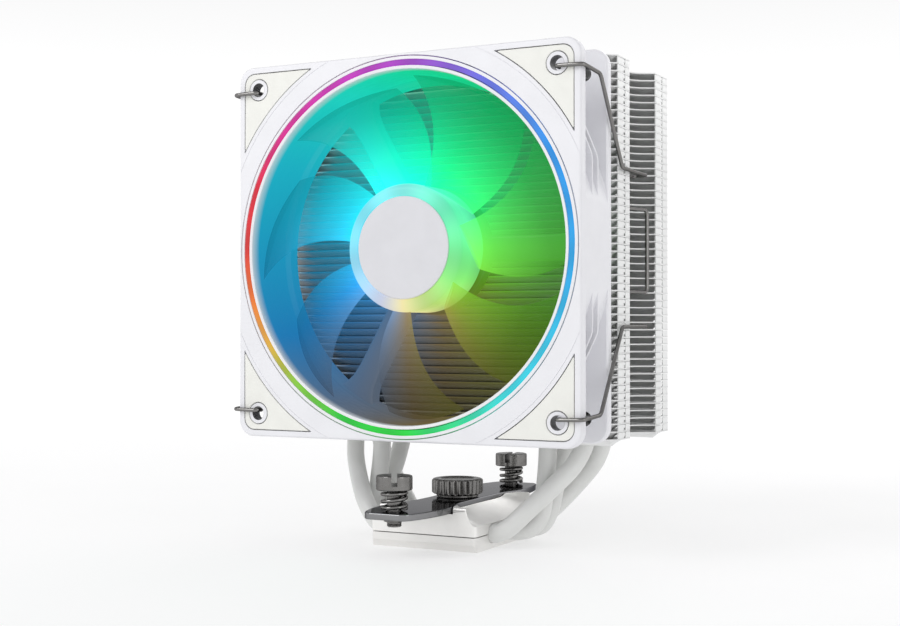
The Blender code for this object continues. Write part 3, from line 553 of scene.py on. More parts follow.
def white_fin_paint():
    """White enamel on thin aluminium, with the orange peel of sprayed paint, lit by the fan in front."""
    f = Finish("white fin paint", (0.78, 0.785, 0.78), Coat_Weight=0.15, Coat_Roughness=0.2)
    f.mottled(14 * MM, 0.02).worn(3 * MM, 0.28, 0.42).bumped(0.9 * MM, 0.02 * MM)
    _, y, _ = f.parts_of_place()
    inside = f.between(f.fan_radius(), 55 * MM, 50 * MM)
    near = f.between(y, FIN_LOW.y + 8 * MM, FIN_LOW.y)
    fade = f.faded_outwards((0, 1.0), (0.3, 0.70), (0.6, 0.45), (1, 0.32))
    return f.bathed(f.math("MULTIPLY", inside, near), 0.06, 1.3, fade).material


def grey_white_pipe_paint():
    """Sprayed paint over the copper pipes, slightly greyer than the fins."""
    f = Finish("grey white pipe paint", (0.69, 0.695, 0.68), Coat_Weight=0.1, Coat_Roughness=0.3)
    return f.mottled(6 * MM, 0.025).worn(2 * MM, 0.34, 0.50).bumped(0.7 * MM, 0.018 * MM).material


def satin_nickel():
    """Bead-blasted nickel plate on the block: soft metal sheen with faint tool lines along X."""
    f = Finish("satin nickel", (0.87, 0.86, 0.84), Metallic=0.65)
    f.mottled(8 * MM, 0.03).worn(1.2 * MM, 0.34, 0.46)
    return f.bumped(0.12 * MM, 0.006 * MM).bumped(0.25 * MM, 0.008 * MM, (0.04, 1, 1)).material


def milled_nickel():
    """Contact plate: nickel over milled copper, with straight tool marks."""
    f = Finish("milled nickel", (0.82, 0.81, 0.79), Metallic=0.7)
    f.mottled(8 * MM, 0.02).worn(2 * MM, 0.34, 0.42, (1, 0.05, 1))
    return f.bumped(0.3 * MM, 0.003 * MM, (1, 0.03, 1)).material


def polished_steel():
    """Mirror-polished plate with hairline scratches."""
    f = Finish("polished steel", (0.26, 0.26, 0.265), Metallic=1.0, Specular_Tint=(0.22, 0.22, 0.23, 1))
    f.mottled(10 * MM, 0.03).worn(2.5 * MM, 0.05, 0.13, (1, 0.08, 1))
    return f.bumped(0.3 * MM, 0.002 * MM, (1, 0.06, 1)).material


def turned_steel():
    """Nickel-plated screw steel with rings left by the lathe."""
    f = Finish("turned steel", (0.20, 0.195, 0.19), Metallic=1.0, Specular_Tint=(0.4, 0.4, 0.4, 1))
    f.mottled(2 * MM, 0.10).worn(0.9 * MM, 0.16, 0.32)
    return f.bumped(0.12 * MM, 0.008 * MM, (0.1, 0.1, 1)).material


def spring_wire():
    """Bright drawn wire, streaked lengthwise."""
    f = Finish("spring wire", (0.22, 0.215, 0.21), Metallic=1.0, Specular_Tint=(0.4, 0.4, 0.4, 1))
    return f.mottled(3 * MM, 0.08).worn(1.5 * MM, 0.14, 0.28).bumped(0.2 * MM, 0.004 * MM).material


def ring_diffuser():
    """Milky ring over a row of lamps: the colours run round it, a little brighter over each lamp."""
    f = Finish("ring diffuser", (0.03, 0.03, 0.035), Specular_IOR_Level=0.08)
    f.worn(1.5 * MM, 0.24, 0.36).bumped(0.4 * MM, 0.006 * MM)
    return f.glowing(f.dimmed(f.around_fan(RING_COLOURS), f.rippled(24, 0.08, 0.92)), 1.0).material


def lit_hub_plastic():
    """Frosted cup lit from inside: brighter over each of the seven lobes behind its wall."""
    f = Finish("lit hub plastic", (0.06, 0.08, 0.08), Specular_IOR_Level=0.15)
    f.worn(2 * MM, 0.28, 0.42).bumped(0.3 * MM, 0.008 * MM)
    _, y, _ = f.parts_of_place()
    back = f.ramp(f.between(y, HUB_LOW.y, HUB_LOW.y + 16 * MM), ((0, 0.95), (0.5, 1.0), (1, 0.75)))
    return f.glowing(f.dimmed(f.around_fan(HUB_COLOURS), f.rippled(7, 0.10, 0.90), back), 1.0).material


def frosted_blade_plastic():
    """Thin frosted blades: partly clear, carrying the hub's light, which fades towards the tips."""
    f = Finish("frosted blade plastic", (0.16, 0.20, 0.20), Alpha=0.42, Specular_IOR_Level=0.06)
    f.worn(4 * MM, 0.26, 0.38).bumped(0.5 * MM, 0.01 * MM)
    fade = f.faded_outwards((0, 1.0), (0.28, 0.6), (0.5, 0.40), (0.75, 0.24), (1, 0.18))
    f.put(f.shader.inputs["Base Color"], f.dimmed(f.around_fan(GLOW_COLOURS), 0.05))
    return f.glowing(f.dimmed(f.around_fan(GLOW_COLOURS), fade), 3.0).material


def cap_plastic():
    """Satin lilac-white disc with a fine spun texture."""
    f = Finish("cap plastic", (0.64, 0.64, 0.67))
    return f.mottled(5 * MM, 0.02).worn(1 * MM, 0.34, 0.46).bumped(0.2 * MM, 0.006 * MM).material


def plain_finish(name, colour, rough, metallic, size):
    """A simple finish for pieces inside the motor: drifting colour and roughness, and a fine bump."""
    f = Finish(name, colour, Metallic=metallic)
    f.mottled(4 * size, 0.08).worn(size, rough - 0.07, rough + 0.07)
    return f.bumped(size / 2, size / 60).material


# ---- fan frame
def square_radius(angle):
    """Distance to the rounded square's edge: half / cos on its sides, a circle about each corner's centre."""
    c = np.abs(np.cos(angle))
    s = np.abs(np.sin(angle))
    big, small = np.maximum(c, s), np.minimum(c, s)
    straight = FAN_HALF / big
    centre = FAN_HALF - FAN_CORNER_R
    beyond = np.maximum(FAN_CORNER_R ** 2 - centre ** 2 * (big - small) ** 2, 0)
    return np.where(straight * small <= centre, straight, centre * (big + small) + np.sqrt(beyond))


def frame_shell():
    """The frame's section carried round the fan's axis; its outer points lie on the rounded square."""
    corners = (45 + 90 * np.arange(4))[:, None] + np.linspace(-2.6, 2.6, 15)[None]
    angle = np.radians(np.unique(np.concatenate([np.arange(0, 360, 0.75), corners.ravel()])))
    out = square_radius(angle)
    mid = np.minimum(DUCT_OUTER_R, out)
    step = np.minimum(0.5 * MM, (out - mid) / 3)
    edge = np.minimum(EDGE_R, 0.8 * (out - CHANNEL_R[1] - 0.1 * MM))
    front, rear = FAN_FRONT, FAN_REAR
    shelf, ledge = front + FRONT_FLANGE, rear - REAR_FLANGE
    floor = front + CHANNEL_DEPTH
    rows = [(DUCT_R, front + 0.6 * MM), (DUCT_R + 0.15 * MM, front + 0.2 * MM), (DUCT_R + 0.5 * MM, front),
            (CHANNEL_R[0] - 0.1 * MM, front), (CHANNEL_R[0], front + 0.1 * MM), (CHANNEL_R[0], floor),
            (CHANNEL_R[1], floor), (CHANNEL_R[1], front + 0.1 * MM), (CHANNEL_R[1] + 0.1 * MM, front),
            (out - edge, front)]
    for turn in np.radians((22.5, 45, 67.5)):
        rows.append((out - edge * (1 - np.sin(turn)), front + edge * (1 - np.cos(turn))))
    rows += [(out, front + edge), (out, shelf - step), (out - step, shelf), (mid + step, shelf),
             (mid, shelf + step), (mid, ledge - step), (mid + step, ledge), (out - step, ledge),
             (out, ledge + step), (out, rear - edge)]
    for turn in np.radians((67.5, 45, 22.5)):
        rows.append((out - edge * (1 - np.sin(turn)), rear - edge * (1 - np.cos(turn))))
    rows += [(out - edge, rear), (DUCT_REAR_R + 0.5 * MM, rear), (DUCT_REAR_R, rear - 0.5 * MM),
             (DUCT_REAR_R, rear - DUCT_STEP + 1.5 * MM), (DUCT_R - 0.3 * MM, rear - DUCT_STEP + 0.2 * MM),
             (DUCT_R, rear - DUCT_STEP - 0.4 * MM)]
    radius = np.array([np.broadcast_to(r, angle.shape) for r, _ in rows])
    depth = np.array([np.broadcast_to(d, angle.shape) for _, d in rows])
    return solid("fan_frame_shell", [round_fan(radius, angle, depth)], wrap_rows=True)


def pad_outline(grow):
    """Corner pad seen from the front: a round corner at the top right, and an arc about the fan's axis."""
    half = PAD_HALF + grow
    arc_r = PAD_ARC_R - grow
    corner_r = PAD_CORNER_R + grow
    reach = math.degrees(math.acos(half / arc_r))
    outline = np.vstack([arc(corner_r, 0, 90, 12, (half - corner_r, half - corner_r)),
                         arc(arc_r, 90 - reach, reach, 24)])
    return evenly(curved_corners(outline, 0.7 * MM, 3, closed=True), 144, closed=True)


def pad_ring(grow, hole_r, rows):
    """A ring from the outline to the hole, along lines to the hole's centre; rows are (part, extra, y).

    Along the way in, the point is outline + d (part * length + extra).
    """
    outline = pad_outline(grow)
    inward = np.array((HOLE_AT, HOLE_AT)) - outline
    length = np.linalg.norm(inward, axis=1)[:, None]
    inward = inward / length
    grid = []
    for part, extra, y in rows:
        flat = outline + inward * (part * (length - hole_r) + extra)
        grid.append(points_of(flat[:, 0], y, flat[:, 1] + FAN_Z))
    return np.array(grid)


def frame_cutters():
    """Everything taken out of the shell: pad seats, screw holes, corner seams and the notch for the cable."""
    seat = PAD_T + GAP
    seats = []
    for face, inward in ((FAN_FRONT, 1), (FAN_REAR, -1)):
        rows = [(0, 0, face - inward * MM), (0, 0, face + inward * seat),
                (1, 0, face + inward * seat), (1, 0, face - inward * MM)]
        seats.append(quarter_turns(pad_ring(GAP, COLLAR_R, rows)))
    seat_cutter = solid("pad_seats", seats, wrap_rows=True)
    hole = arc(HOLE_R, 0, 360, 33, (HOLE_AT, HOLE_AT + FAN_Z))[:-1]
    hole_cutter = solid("screw_holes", [quarter_turns(prism(hole, FAN_FRONT - MM, FAN_REAR + MM, 1))])
    sweep = np.radians(np.linspace(23, 67, 60))[:, None]
    section = np.array([(-0.08, 0.3), (0.08, 0.3), (0.08, -0.12), (-0.08, -0.12)]) * MM
    seam = round_fan(SEAM_R + section[:, 0], sweep, FAN_FRONT - section[:, 1])
    seam_cutter = solid("corner_seams", [quarter_turns(closed_ends(seam))])
    notch = [(-43.5 * MM, FAN_Z - 65 * MM), (-36.5 * MM, FAN_Z - 65 * MM),
             (-36.5 * MM, FAN_Z - 55 * MM), (-43.5 * MM, FAN_Z - 55 * MM)]
    notch_cutter = solid("cable_notch", [prism(notch, FAN_REAR - 2 * MM, FAN_REAR + 2 * MM, 1)])
    return seat_cutter, hole_cutter, seam_cutter, notch_cutter


def side_ribs():
    """Thin ribs in the four sides' recesses: each runs along the panel, then slants to the front flange.

    A rib's section is a strip from the round duct wall out to just under the square's side.
    """
    shelf = FAN_FRONT + FRONT_FLANGE
    ribs = []
    for out_y, end_z in ((5.9 * MM, 31.5 * MM), (10.3 * MM, 34.5 * MM)):
        bends = [(shelf + out_y, 12.0 * MM), (shelf + out_y, 26.2 * MM), (shelf - 0.3 * MM, end_z)]
        y, z = evenly(curved_corners(bends, 2.0 * MM, 6), 28).T
        along = np.gradient(np.stack([y, z], -1), axis=0)
        across = np.stack([along[:, 1], -along[:, 0]], -1)
        across = across / np.linalg.norm(along, axis=1)[:, None] * 0.28 * MM
        wall = np.sqrt(DUCT_OUTER_R ** 2 - z ** 2) - 0.4 * MM
        rim = FAN_HALF - 0.25 * MM + 0 * z
        section = [(wall, -1), (rim - 0.15 * MM, -1), (rim, -0.5), (rim, 0.5), (rim - 0.15 * MM, 1),
                   (wall, 1)]
        grid = np.stack([points_of(x, y + side * across[:, 0], FAN_Z + z + side * across[:, 1])
                         for x, side in section], 1)
        mirrored = grid * (1, 1, -1) + (0, 0, 2 * FAN_Z)
        ribs += [quarter_turns(closed_ends(grid)), quarter_turns(closed_ends(mirrored))]
    return solid("fan_frame_ribs", ribs)


def struts():
    """Three struts: a rounded section carried out from the mount, wider where it meets the duct."""
    low, high = FAN_REAR - 5.5 * MM, FAN_REAR - GAP
    reach = np.array([MOUNT_R - 1.5 * MM, 30 * MM, 44 * MM, 49 * MM, 52 * MM, DUCT_REAR_R + 0.4 * MM])
    half = np.array([4.2, 4.0, 4.0, 4.5, 5.6, 7.0]) * MM
    radius = np.linspace(reach[0], reach[-1], 30)
    width = np.interp(radius, reach, half)
    unit = curved_corners([(-1, -1), (1, -1), (1, 1), (-1, 1)], 0.28, 4, closed=True)
    middle, half_depth = (low + high) / 2, (high - low) / 2
    grids = []
    for turn in STRUT_ANGLES:
        across = unit[None, :, 0] * width[:, None]
        out = radius[:, None] + 0 * across
        depth = middle + unit[None, :, 1] * half_depth + 0 * across
        x = out * np.cos(turn) - across * np.sin(turn)
        z = out * np.sin(turn) + across * np.cos(turn)
        grids.append(closed_ends(points_of(x, depth, FAN_Z + z)))
    return solid("fan_struts", grids)


def motor_mount():
    """Turned disc with a raised rim in front and a shallow seat for the blank disc behind."""
    rear = FAN_REAR - GAP
    seat_r, tube_r, rim_r = 17.8 * MM, 4.6 * MM, MOUNT_R - 1.5 * MM
    profile = [(MOUNT_R, rear - 4.4 * MM), (MOUNT_R, rear), (seat_r, rear), (seat_r, rear - 0.9 * MM),
               (tube_r, rear - 0.9 * MM), (tube_r, rear - 3.2 * MM), (rim_r, rear - 3.2 * MM),
               (rim_r, rear - 4.4 * MM)]
    turned = turned_on_fan(curved_corners(profile, 0.3 * MM, 3, closed=True))
    return solid("fan_motor_mount", [turned], wrap_rows=True)


def build_fan_frame(plastic, rubber):
    """Frame, ribs, struts, motor mount and the eight corner pads."""
    fitted(carved(frame_shell(), *frame_cutters()), plastic, "tower", "frame_plastic", "fan_frame", sharp=30)
    for made in (side_ribs(), struts(), motor_mount()):
        fitted(made, plastic, "tower", "frame_plastic", "fan_frame")
    for side, face, inward in (("front", FAN_FRONT, 1), ("rear", FAN_REAR, -1)):
        back, bevel = face + inward * PAD_T, 0.18 * MM
        rows = [(0, 0, back), (0, 0, face + inward * bevel), (0, bevel, face), (0.5, 0, face),
                (1, -bevel, face), (1, 0, face + inward * bevel), (1, 0, back), (0.5, 0, back)]
        for place, grid in zip(("top_right", "top_left", "bottom_left", "bottom_right"),
                               quarter_turns(pad_ring(0, COLLAR_R + GAP, rows))):
            pad = solid(f"{side}_{place}_corner_pad", [grid], wrap_rows=True)
            fitted(pad, rubber, "tower", "pad_rubber", f"{side}_{place}_pad")


# ---- lit ring, hub and blades
def build_ring(plastic, diffuser):
    """Stepped diffuser ring and the white trim ring over its outer edge."""
    front, step, back = RING_LOW.y, RING_LOW.y + 1.5 * MM, RING_HIGH.y
    inner, face, outer = CHANNEL_R[0] + GAP, 57.7 * MM, CHANNEL_R[1] - GAP
    diffuser_profile = [(face, front), (face, step), (outer, step), (outer, back), (inner, back),
                        (inner, front)]
    trim_profile = [(outer, front), (outer, TRIM_HIGH.y), (face + GAP, TRIM_HIGH.y), (face + GAP, front)]
    for name, profile, edge, finish, slot, node in (
            ("lit_ring", diffuser_profile, 0.2 * MM, diffuser, "ring_diffuser", "light_ring"),
            ("lit_ring_trim", trim_profile, 0.15 * MM, plastic, "frame_plastic", "ring_trim")):
        ring = turned_on_fan(curved_corners(profile, edge, 3, closed=True), 288)
        fitted(solid(name, [ring], wrap_rows=True), finish, "tower", slot, node)


def hub_cup():
    """Cup with a rounded front rim, a seat for the cap and a boss for the shaft."""
    front, rear, wall = HUB_LOW.y, HUB_LOW.y + 16.2 * MM, 1.5 * MM
    seat, roof = front + 1.1 * MM, front + 2.5 * MM
    rim = arc(2.2 * MM, 90, 0, 7, (HUB_R - 2.2 * MM, 0))
    outside = np.stack([rim[:, 0], front + 2.2 * MM - rim[:, 1]], -1)
    start = [(0, seat), (CAP_HIGH.x + GAP, seat), (CAP_HIGH.x + GAP, front)]
    end = [(HUB_R, rear - 0.3 * MM), (HUB_R - 0.3 * MM, rear), (HUB_R - wall, rear), (HUB_R - wall, roof),
           (3.4 * MM, roof), (3.4 * MM, roof + 2.4 * MM), (1.8 * MM, roof + 2.4 * MM),
           (1.8 * MM, seat + 0.7 * MM), (0, seat + 0.7 * MM)]
    return solid("fan_hub", [turned_on_fan(np.vstack([start, outside, end]), 128)])


def blade_grid(index, chord_steps=26, span_steps=22):
    """One blade as a loop round its section carried from hub to tip.

    Middle surface at chord share u and span share v: angle = start + span (0.5 - u) + sweep v^2, and depth a
    straight line from front to rear less 1.6 mm sin(pi u). The section adds and takes off a thickness of
    (1.3 - 0.4 v) mm times (4u(1-u))^0.4 along the middle surface's normal.
    """
    loop = np.arange(2 * chord_steps) * TAU / (2 * chord_steps)
    u, side = (1 - np.cos(loop)) / 2, np.sign(np.sin(loop))
    v = np.linspace(0, 1, span_steps)[:, None]

    def middle(u, v):
        radius = BLADE_RADII[0] + (BLADE_RADII[1] - BLADE_RADII[0]) * v + 0 * u
        angle = TAU * index / BLADE_COUNT + BLADE_SPAN * (0.5 - u) + BLADE_SWEEP * v ** 2
        depth = BLADE_DEPTHS[0] + (BLADE_DEPTHS[1] - BLADE_DEPTHS[0]) * u - 1.6 * MM * np.sin(np.pi * u)
        return round_fan(radius, angle, depth)

    small = 1e-3
    across = middle(u + small, v) - middle(u - small, v)
    along = middle(u, v + small) - middle(u, v - small)
    normal = np.cross(across, along)
    normal /= np.linalg.norm(normal, axis=-1, keepdims=True)
    tip = np.sqrt(np.clip(1 - ((v - 0.975) / 0.025).clip(0) ** 2, 0, 1))
    thickness = (1.3 - 0.4 * v) * MM / 2 * (4 * u * (1 - u)).clip(0) ** 0.4 * tip
    return closed_ends(middle(u, v) + normal * (thickness * side)[..., None])


def build_rotor(hub_plastic, blade_plastic, cap_finish):
    """Hub, blades and the plain cap."""
    fitted(hub_cup(), hub_plastic, "fan_rotor", "frosted_plastic", "rotor")
    blades = solid("fan_blades", [blade_grid(i) for i in range(BLADE_COUNT)])
    fitted(blades, blade_plastic, "fan_rotor", "frosted_plastic", "rotor", sharp=50, weighted=False)
    front, back, edge = CAP_LOW.y, CAP_HIGH.y, CAP_HIGH.x
    profile = [(0, front), (edge - 0.25 * MM, front), (edge, front + 0.2 * MM), (edge, back), (0, back)]
    cover = solid("hub_cover", [turned_on_fan(profile, 128)])
    fitted(cover, cap_finish, "fan_rotor", "cap_plastic", "hub_cap")


# ---- fins
def fin_outline():
    """Right half of a fin's outline as (half width, y), with a cut-off front corner and a curved recess."""
    recess = smooth_curve(np.array([(55.0, 1.9), (53.6, 3.6), (52.7, 6.5), (52.4, 12.0), (52.7, 18.5),
                                    (53.8, 21.8), (56.0, 24.2)]) * MM, 3)
    front = np.array([(54.0, FIN_LOW.y / MM), (60.0, -9.0), (60.0, 1.4), (56.0, 1.55)]) * MM
    rear = np.array([(60.0, 26.3), (60.0, FIN_HIGH.y / MM)]) * MM
    return np.vstack([front, recess, rear])


def fins():
    """Fifty plates: a thin section of the outline's width carried from front to rear.

    Two stiffening grooves run across each, near its front and its rear: z - depth (0.5 - 0.5 cos(2 pi s)),
    where s runs from 0 to 1 over each groove's stretch of y.
    """
    half, y = fin_outline().T
    stations = np.sort(np.concatenate([y, *(np.linspace(*groove, 7) for groove in FIN_GROOVES)]))
    half = np.interp(stations, y, half)
    y = stations
    z = np.linspace(FIN_LOW.z + FIN_T / 2, FIN_HIGH.z - FIN_T / 2, FIN_COUNT)
    across = np.array([-1, -0.985, -0.95, 0.95, 0.985, 1])
    unit = np.concatenate([across, across[::-1]])
    side = np.repeat([-1, 1], len(across)) * FIN_T / 2
    x = half[:, None] * unit
    share = sum(((y - start) / (end - start)).clip(0, 1) for start, end in FIN_GROOVES)[:, None]
    drop = FIN_GROOVE_DEPTH * (0.5 - 0.5 * np.cos(TAU * share)) * (np.abs(unit) < 0.96)
    section = points_of(x, y[:, None], side - drop)
    return closed_ends(section)[None] + points_of(0, 0, z)[:, None, None]


def tabs():
    """Folded tabs that space the fins along each side: a stepped outline, one fin's pitch tall."""
    pitch = (FIN_HIGH.z - FIN_LOW.z - FIN_T) / (FIN_COUNT - 1)
    low, high = FIN_T / 2 - 0.05 * MM, pitch - FIN_T / 2 - 0.12 * MM
    step = low + 0.45 * (high - low)
    base = FIN_LOW.z + FIN_T / 2 + pitch * np.arange(FIN_COUNT - 1)
    grids = []
    for front, waist, rear in ((-9.0, -4.1, -2.9), (1.4, -2.5, -2.5), (26.4, 31.6, 32.9), (38.5, 33.4, 33.4)):
        a, b, c = front * MM, waist * MM, rear * MM
        outline = np.array([(a, low), (b, low), (b, step), (c, step), (c, high - 0.25 * MM), (b, high),
                            (a, high)])
        if a > b:
            outline = outline[::-1]
        for side in (-1, 1):
            edge = side * FIN_HIGH.x
            shape = prism(outline, edge - side * TAB_T, edge, 0)
            grids.append(shape[None] + points_of(0, 0, base)[:, None, None])
    return grids


def pipe_collars():
    """Short flared collars where each pipe passes each fin."""
    z = np.linspace(FIN_LOW.z + FIN_T / 2, FIN_HIGH.z - FIN_T / 2, FIN_COUNT)[:-1]
    profile = np.array([(3.9, 0.0), (3.25, 0.45), (3.22, 1.5), (2.9, 1.5), (2.9, 0.0)]) * MM
    ring = turned_upright(profile, 0.0, 14)
    shift = [(side * x, y, height) for side in (-1, 1) for x, y in LEG_PLACES for height in z]
    return ring[None] + np.array(shift)[:, None, None]


def build_fins(paint):
    """The stack of fins with its tabs, and the collars round the pipes."""
    stack = joined("cooling_fins", solid("plates", [fins()]), solid("side_tabs", tabs()),
                   solid("collars", [pipe_collars()], wrap_rows=True))
    fitted(stack, paint, "tower", "fin_paint", "fin_stack", weighted=False)


# ---- heat pipes
LONG_BEND = ((20.5, 4.8), (24.5, 6.9), (30.0, 12.6), (35.8, 19.4), (40.5, 25.8), (42.7, 31.8))
TIGHT_BEND = ((24.0, 4.8), (28.5, 6.2), (30.8, 10.5), (31.0, 17.5), (31.0, 25.0), (31.0, 31.5))


def pipe_route(bend, base_y, leg, early):
    """Right half of a pipe: bend points in x and z, leaning back from base_y to the leg's y as it rises."""
    leg_x, leg_y = leg
    x, z = np.vstack([np.array(bend) * MM, (leg_x, FIN_LOW.z)]).T
    rise = (z - PIPE_AXIS_Z) / (FIN_LOW.z - PIPE_AXIS_Z)
    lean = 1 - (1 - rise) ** 2 if early else smooth_step(rise)
    bent = smooth_curve(np.stack([x, base_y + (leg_y - base_y) * lean, z], -1), 8)
    top = np.array([(leg_x, leg_y, PIPE_HIGH.z - 3.2 * MM)])
    tip = np.linspace(PIPE_HIGH.z - 3.2 * MM, PIPE_HIGH.z, 13)[1:]
    return np.vstack([bent, top, points_of(leg_x, leg_y, tip)])


def build_pipes(paint):
    """Two outer pipes with long bends and two inner ones with tight elbows; the tips end in a nipple."""
    outer, inner = PIPE_BASE_Y
    rows = (("front_outer", LONG_BEND, -outer, False), ("rear_outer", LONG_BEND, outer, True),
            ("front_inner", TIGHT_BEND, -inner, True), ("rear_inner", TIGHT_BEND, inner, False))
    for (name, bend, base_y, early), leg in zip(rows, LEG_PLACES):
        right = pipe_route(bend, base_y, leg, early)
        path = np.vstack([right[::-1] * (-1, 1, 1), right])
        below = PIPE_HIGH.z - path[:, 2]
        dome = PIPE_R * np.sqrt(np.clip(1 - ((3.0 * MM - below) / (2.2 * MM)).clip(0, 1) ** 2, 0, 1))
        nipple = 0.9 * MM * np.sqrt(np.clip(1 - (1 - below / (0.6 * MM)).clip(0) ** 2, 0, 1))
        radius = np.maximum(np.maximum(dome, nipple), 0.05 * MM)
        fitted(solid(f"{name}_pipe", [tube(path, radius, 28)]), paint, "tower", "pipe_paint",
               f"{name}_heat_pipe", weighted=False)


# ---- base
def end_inset(y, half_length, radius):
    """How far a corner of a radius has drawn in at y: r - sqrt(r^2 - (|y| - (half length - r))^2)."""
    past = (np.abs(y) - (half_length - radius)).clip(0, radius)
    return radius - np.sqrt(np.maximum(radius ** 2 - past ** 2, 0))


def stations(half_length, radius, count):
    """Places from end to end, close together where the end corners turn."""
    corner = half_length - radius * (1 - np.sin(np.linspace(0, math.pi / 2, 8)))
    middle = np.linspace(0, half_length - radius, count)[:-1]
    right = np.concatenate([middle, corner])
    return np.concatenate([-right[:0:-1], right])


def plate_grid():
    """Contact plate: a section carried along Y, whose underside rises 2.3 mm over the last 1.5 mm."""
    half_x, half_y = PLATE_HIGH.x, PLATE_HIGH.y
    y = np.array([-half_y, -half_y + 0.05 * MM, -half_y + 1.5 * MM, 0])
    y = np.concatenate([y, -y[-2::-1]])
    low = PLATE_LOW.z + 2.3 * MM * ((np.abs(y) - half_y + 1.5 * MM) / (1.5 * MM)).clip(0, 1)
    half = half_x - 0.8 * MM * ((np.abs(y) - half_y + 1.0 * MM) / MM).clip(0, 1) ** 2
    high = PLATE_HIGH.z + 0 * y
    return along_y(y, [(half - 0.2 * MM, low), (half, low + 0.2 * MM), (half, high)])


def block_grid():
    """Upper block: a section carried along Y, with flanks that curve in to an hourglass top.

    Half width at the top = 7.8 + 8.7 |y / L|^6 mm; from the shoulder up, top + (side - top) (1 - rise)^2.
    """
    half_x, half_y, foot, crown = BLOCK_HIGH.x, BLOCK_HIGH.y, BLOCK_LOW.z, BLOCK_HIGH.z
    y = stations(half_y, 1.4 * MM, 26)
    inset = end_inset(y, half_y, 1.4 * MM)
    roof = crown - end_inset(y, half_y, 0.8 * MM)
    top = (7.8 + 8.7 * np.abs(y / half_y) ** 6) * MM
    shoulder = 8.2 * MM
    right = [(half_x - inset, foot + 0 * y)]
    for rise in np.linspace(0, 1, 16):
        z = shoulder + (crown - shoulder) * rise
        side = top + (half_x - top) * (1 - rise) ** 2
        right.append((side - inset, np.minimum(z, roof) - 0.15 * MM * (rise == 1)))
    right.append((top - inset - 0.25 * MM, roof))
    return along_y(y, right)


BAR_WIDTHS = ((-1.0, 8.0), (0.0, 8.0), (14.0, 8.2), (21.0, 9.4), (25.5, 10.8), (32.0, 11.0), (40.0, 10.0),
              (46.5, 8.2), (49.3, 6.2))


def bar_grid(grow, low, high, edge):
    """Bracket bar: a section across X with rounded edges, carried along Y by a smooth half width."""
    half_y = BAR_HIGH.y + grow
    curve = smooth_curve(BAR_WIDTHS, 8) * MM
    y = stations(half_y, 1.2 * MM, 60)
    half = np.interp(np.abs(y), curve[:, 0], curve[:, 1]) + grow - end_inset(y, half_y, 1.2 * MM)
    drop = np.minimum(end_inset(y, half_y, edge), 0.8 * edge)
    right = []
    for turn in np.linspace(0, math.pi / 2, 4):
        right.append((half - edge * (1 - math.sin(turn)), low + drop + edge * (1 - math.cos(turn))))
    for turn in np.linspace(math.pi / 2, 0, 4):
        right.append((half - edge * (1 - math.sin(turn)), high - drop - edge * (1 - math.cos(turn))))
    return along_y(y, right)


def upright_cutter(radius, y, low, high):
    """A round cutter about a vertical axis."""
    return turned_upright([(0, high), (radius, high), (radius, low), (0, low)], y, 48)


def build_base(nickel, milled, polished):
    """Contact plate, block and bracket bar, with the pipes' grooves and the screw holes cut."""
    outer, inner = PIPE_BASE_Y
    grooves = [arc(PIPE_R + 0.12 * MM, 0, 360, 37, (y, PIPE_AXIS_Z))[:-1]
               for y in (-outer, -inner, inner, outer)]
    reach = PLATE_HIGH.x + 2 * MM

    def groove_cutter(name):
        return solid(name, [prism(g, -reach, reach, 0) for g in grooves])

    plate = carved(solid("contact_plate", [plate_grid()]), groove_cutter("plate_grooves"))
    fitted(plate, milled, "tower", "nickel_plate", "base_plate")
    channel = solid("bar_channel", [bar_grid(GAP, BAR_LOW.z - GAP, BAR_HIGH.z + 3 * MM, 0.05 * MM)])
    hole = solid("block_hole", [upright_cutter(THUMB_HOLE_R, 0, BAR_LOW.z - 3.4 * MM, BAR_HIGH.z + MM)])
    block = carved(solid("cold_block", [block_grid()]), groove_cutter("block_grooves"), channel, hole)
    fitted(block, nickel, "tower", "nickel_block", "base_block", sharp=28)
    holes = [upright_cutter(r, y, BAR_LOW.z - MM, BAR_HIGH.z + MM)
             for r, y in ((THUMB_HOLE_R, 0), (BAR_HOLE_R, -SCREW_Y), (BAR_HOLE_R, SCREW_Y))]
    bar = carved(solid("bracket", [bar_grid(0, BAR_LOW.z, BAR_HIGH.z, 0.4 * MM)]), solid("bar_holes", holes))
    fitted(bar, polished, "tower", "polished_bar", "bracket_bar", sharp=40)


# ---- screws and springs
def threaded(radius, low, high, pitch, depth, y, steps=48):
    """A thread: r = radius - depth |2 frac(z / pitch - a / 2 pi) - 1|, from high down to low."""
    z = np.arange(high, low, -pitch / 8)[:, None]
    a = np.arange(steps) * TAU / steps
    phase = (z / pitch - a / TAU) % 1
    ends = smooth_step((high - z) / pitch), smooth_step((z - low) / pitch)
    return round_upright(radius - depth * np.abs(2 * phase - 1) * ends[0] * ends[1], a, y, z)


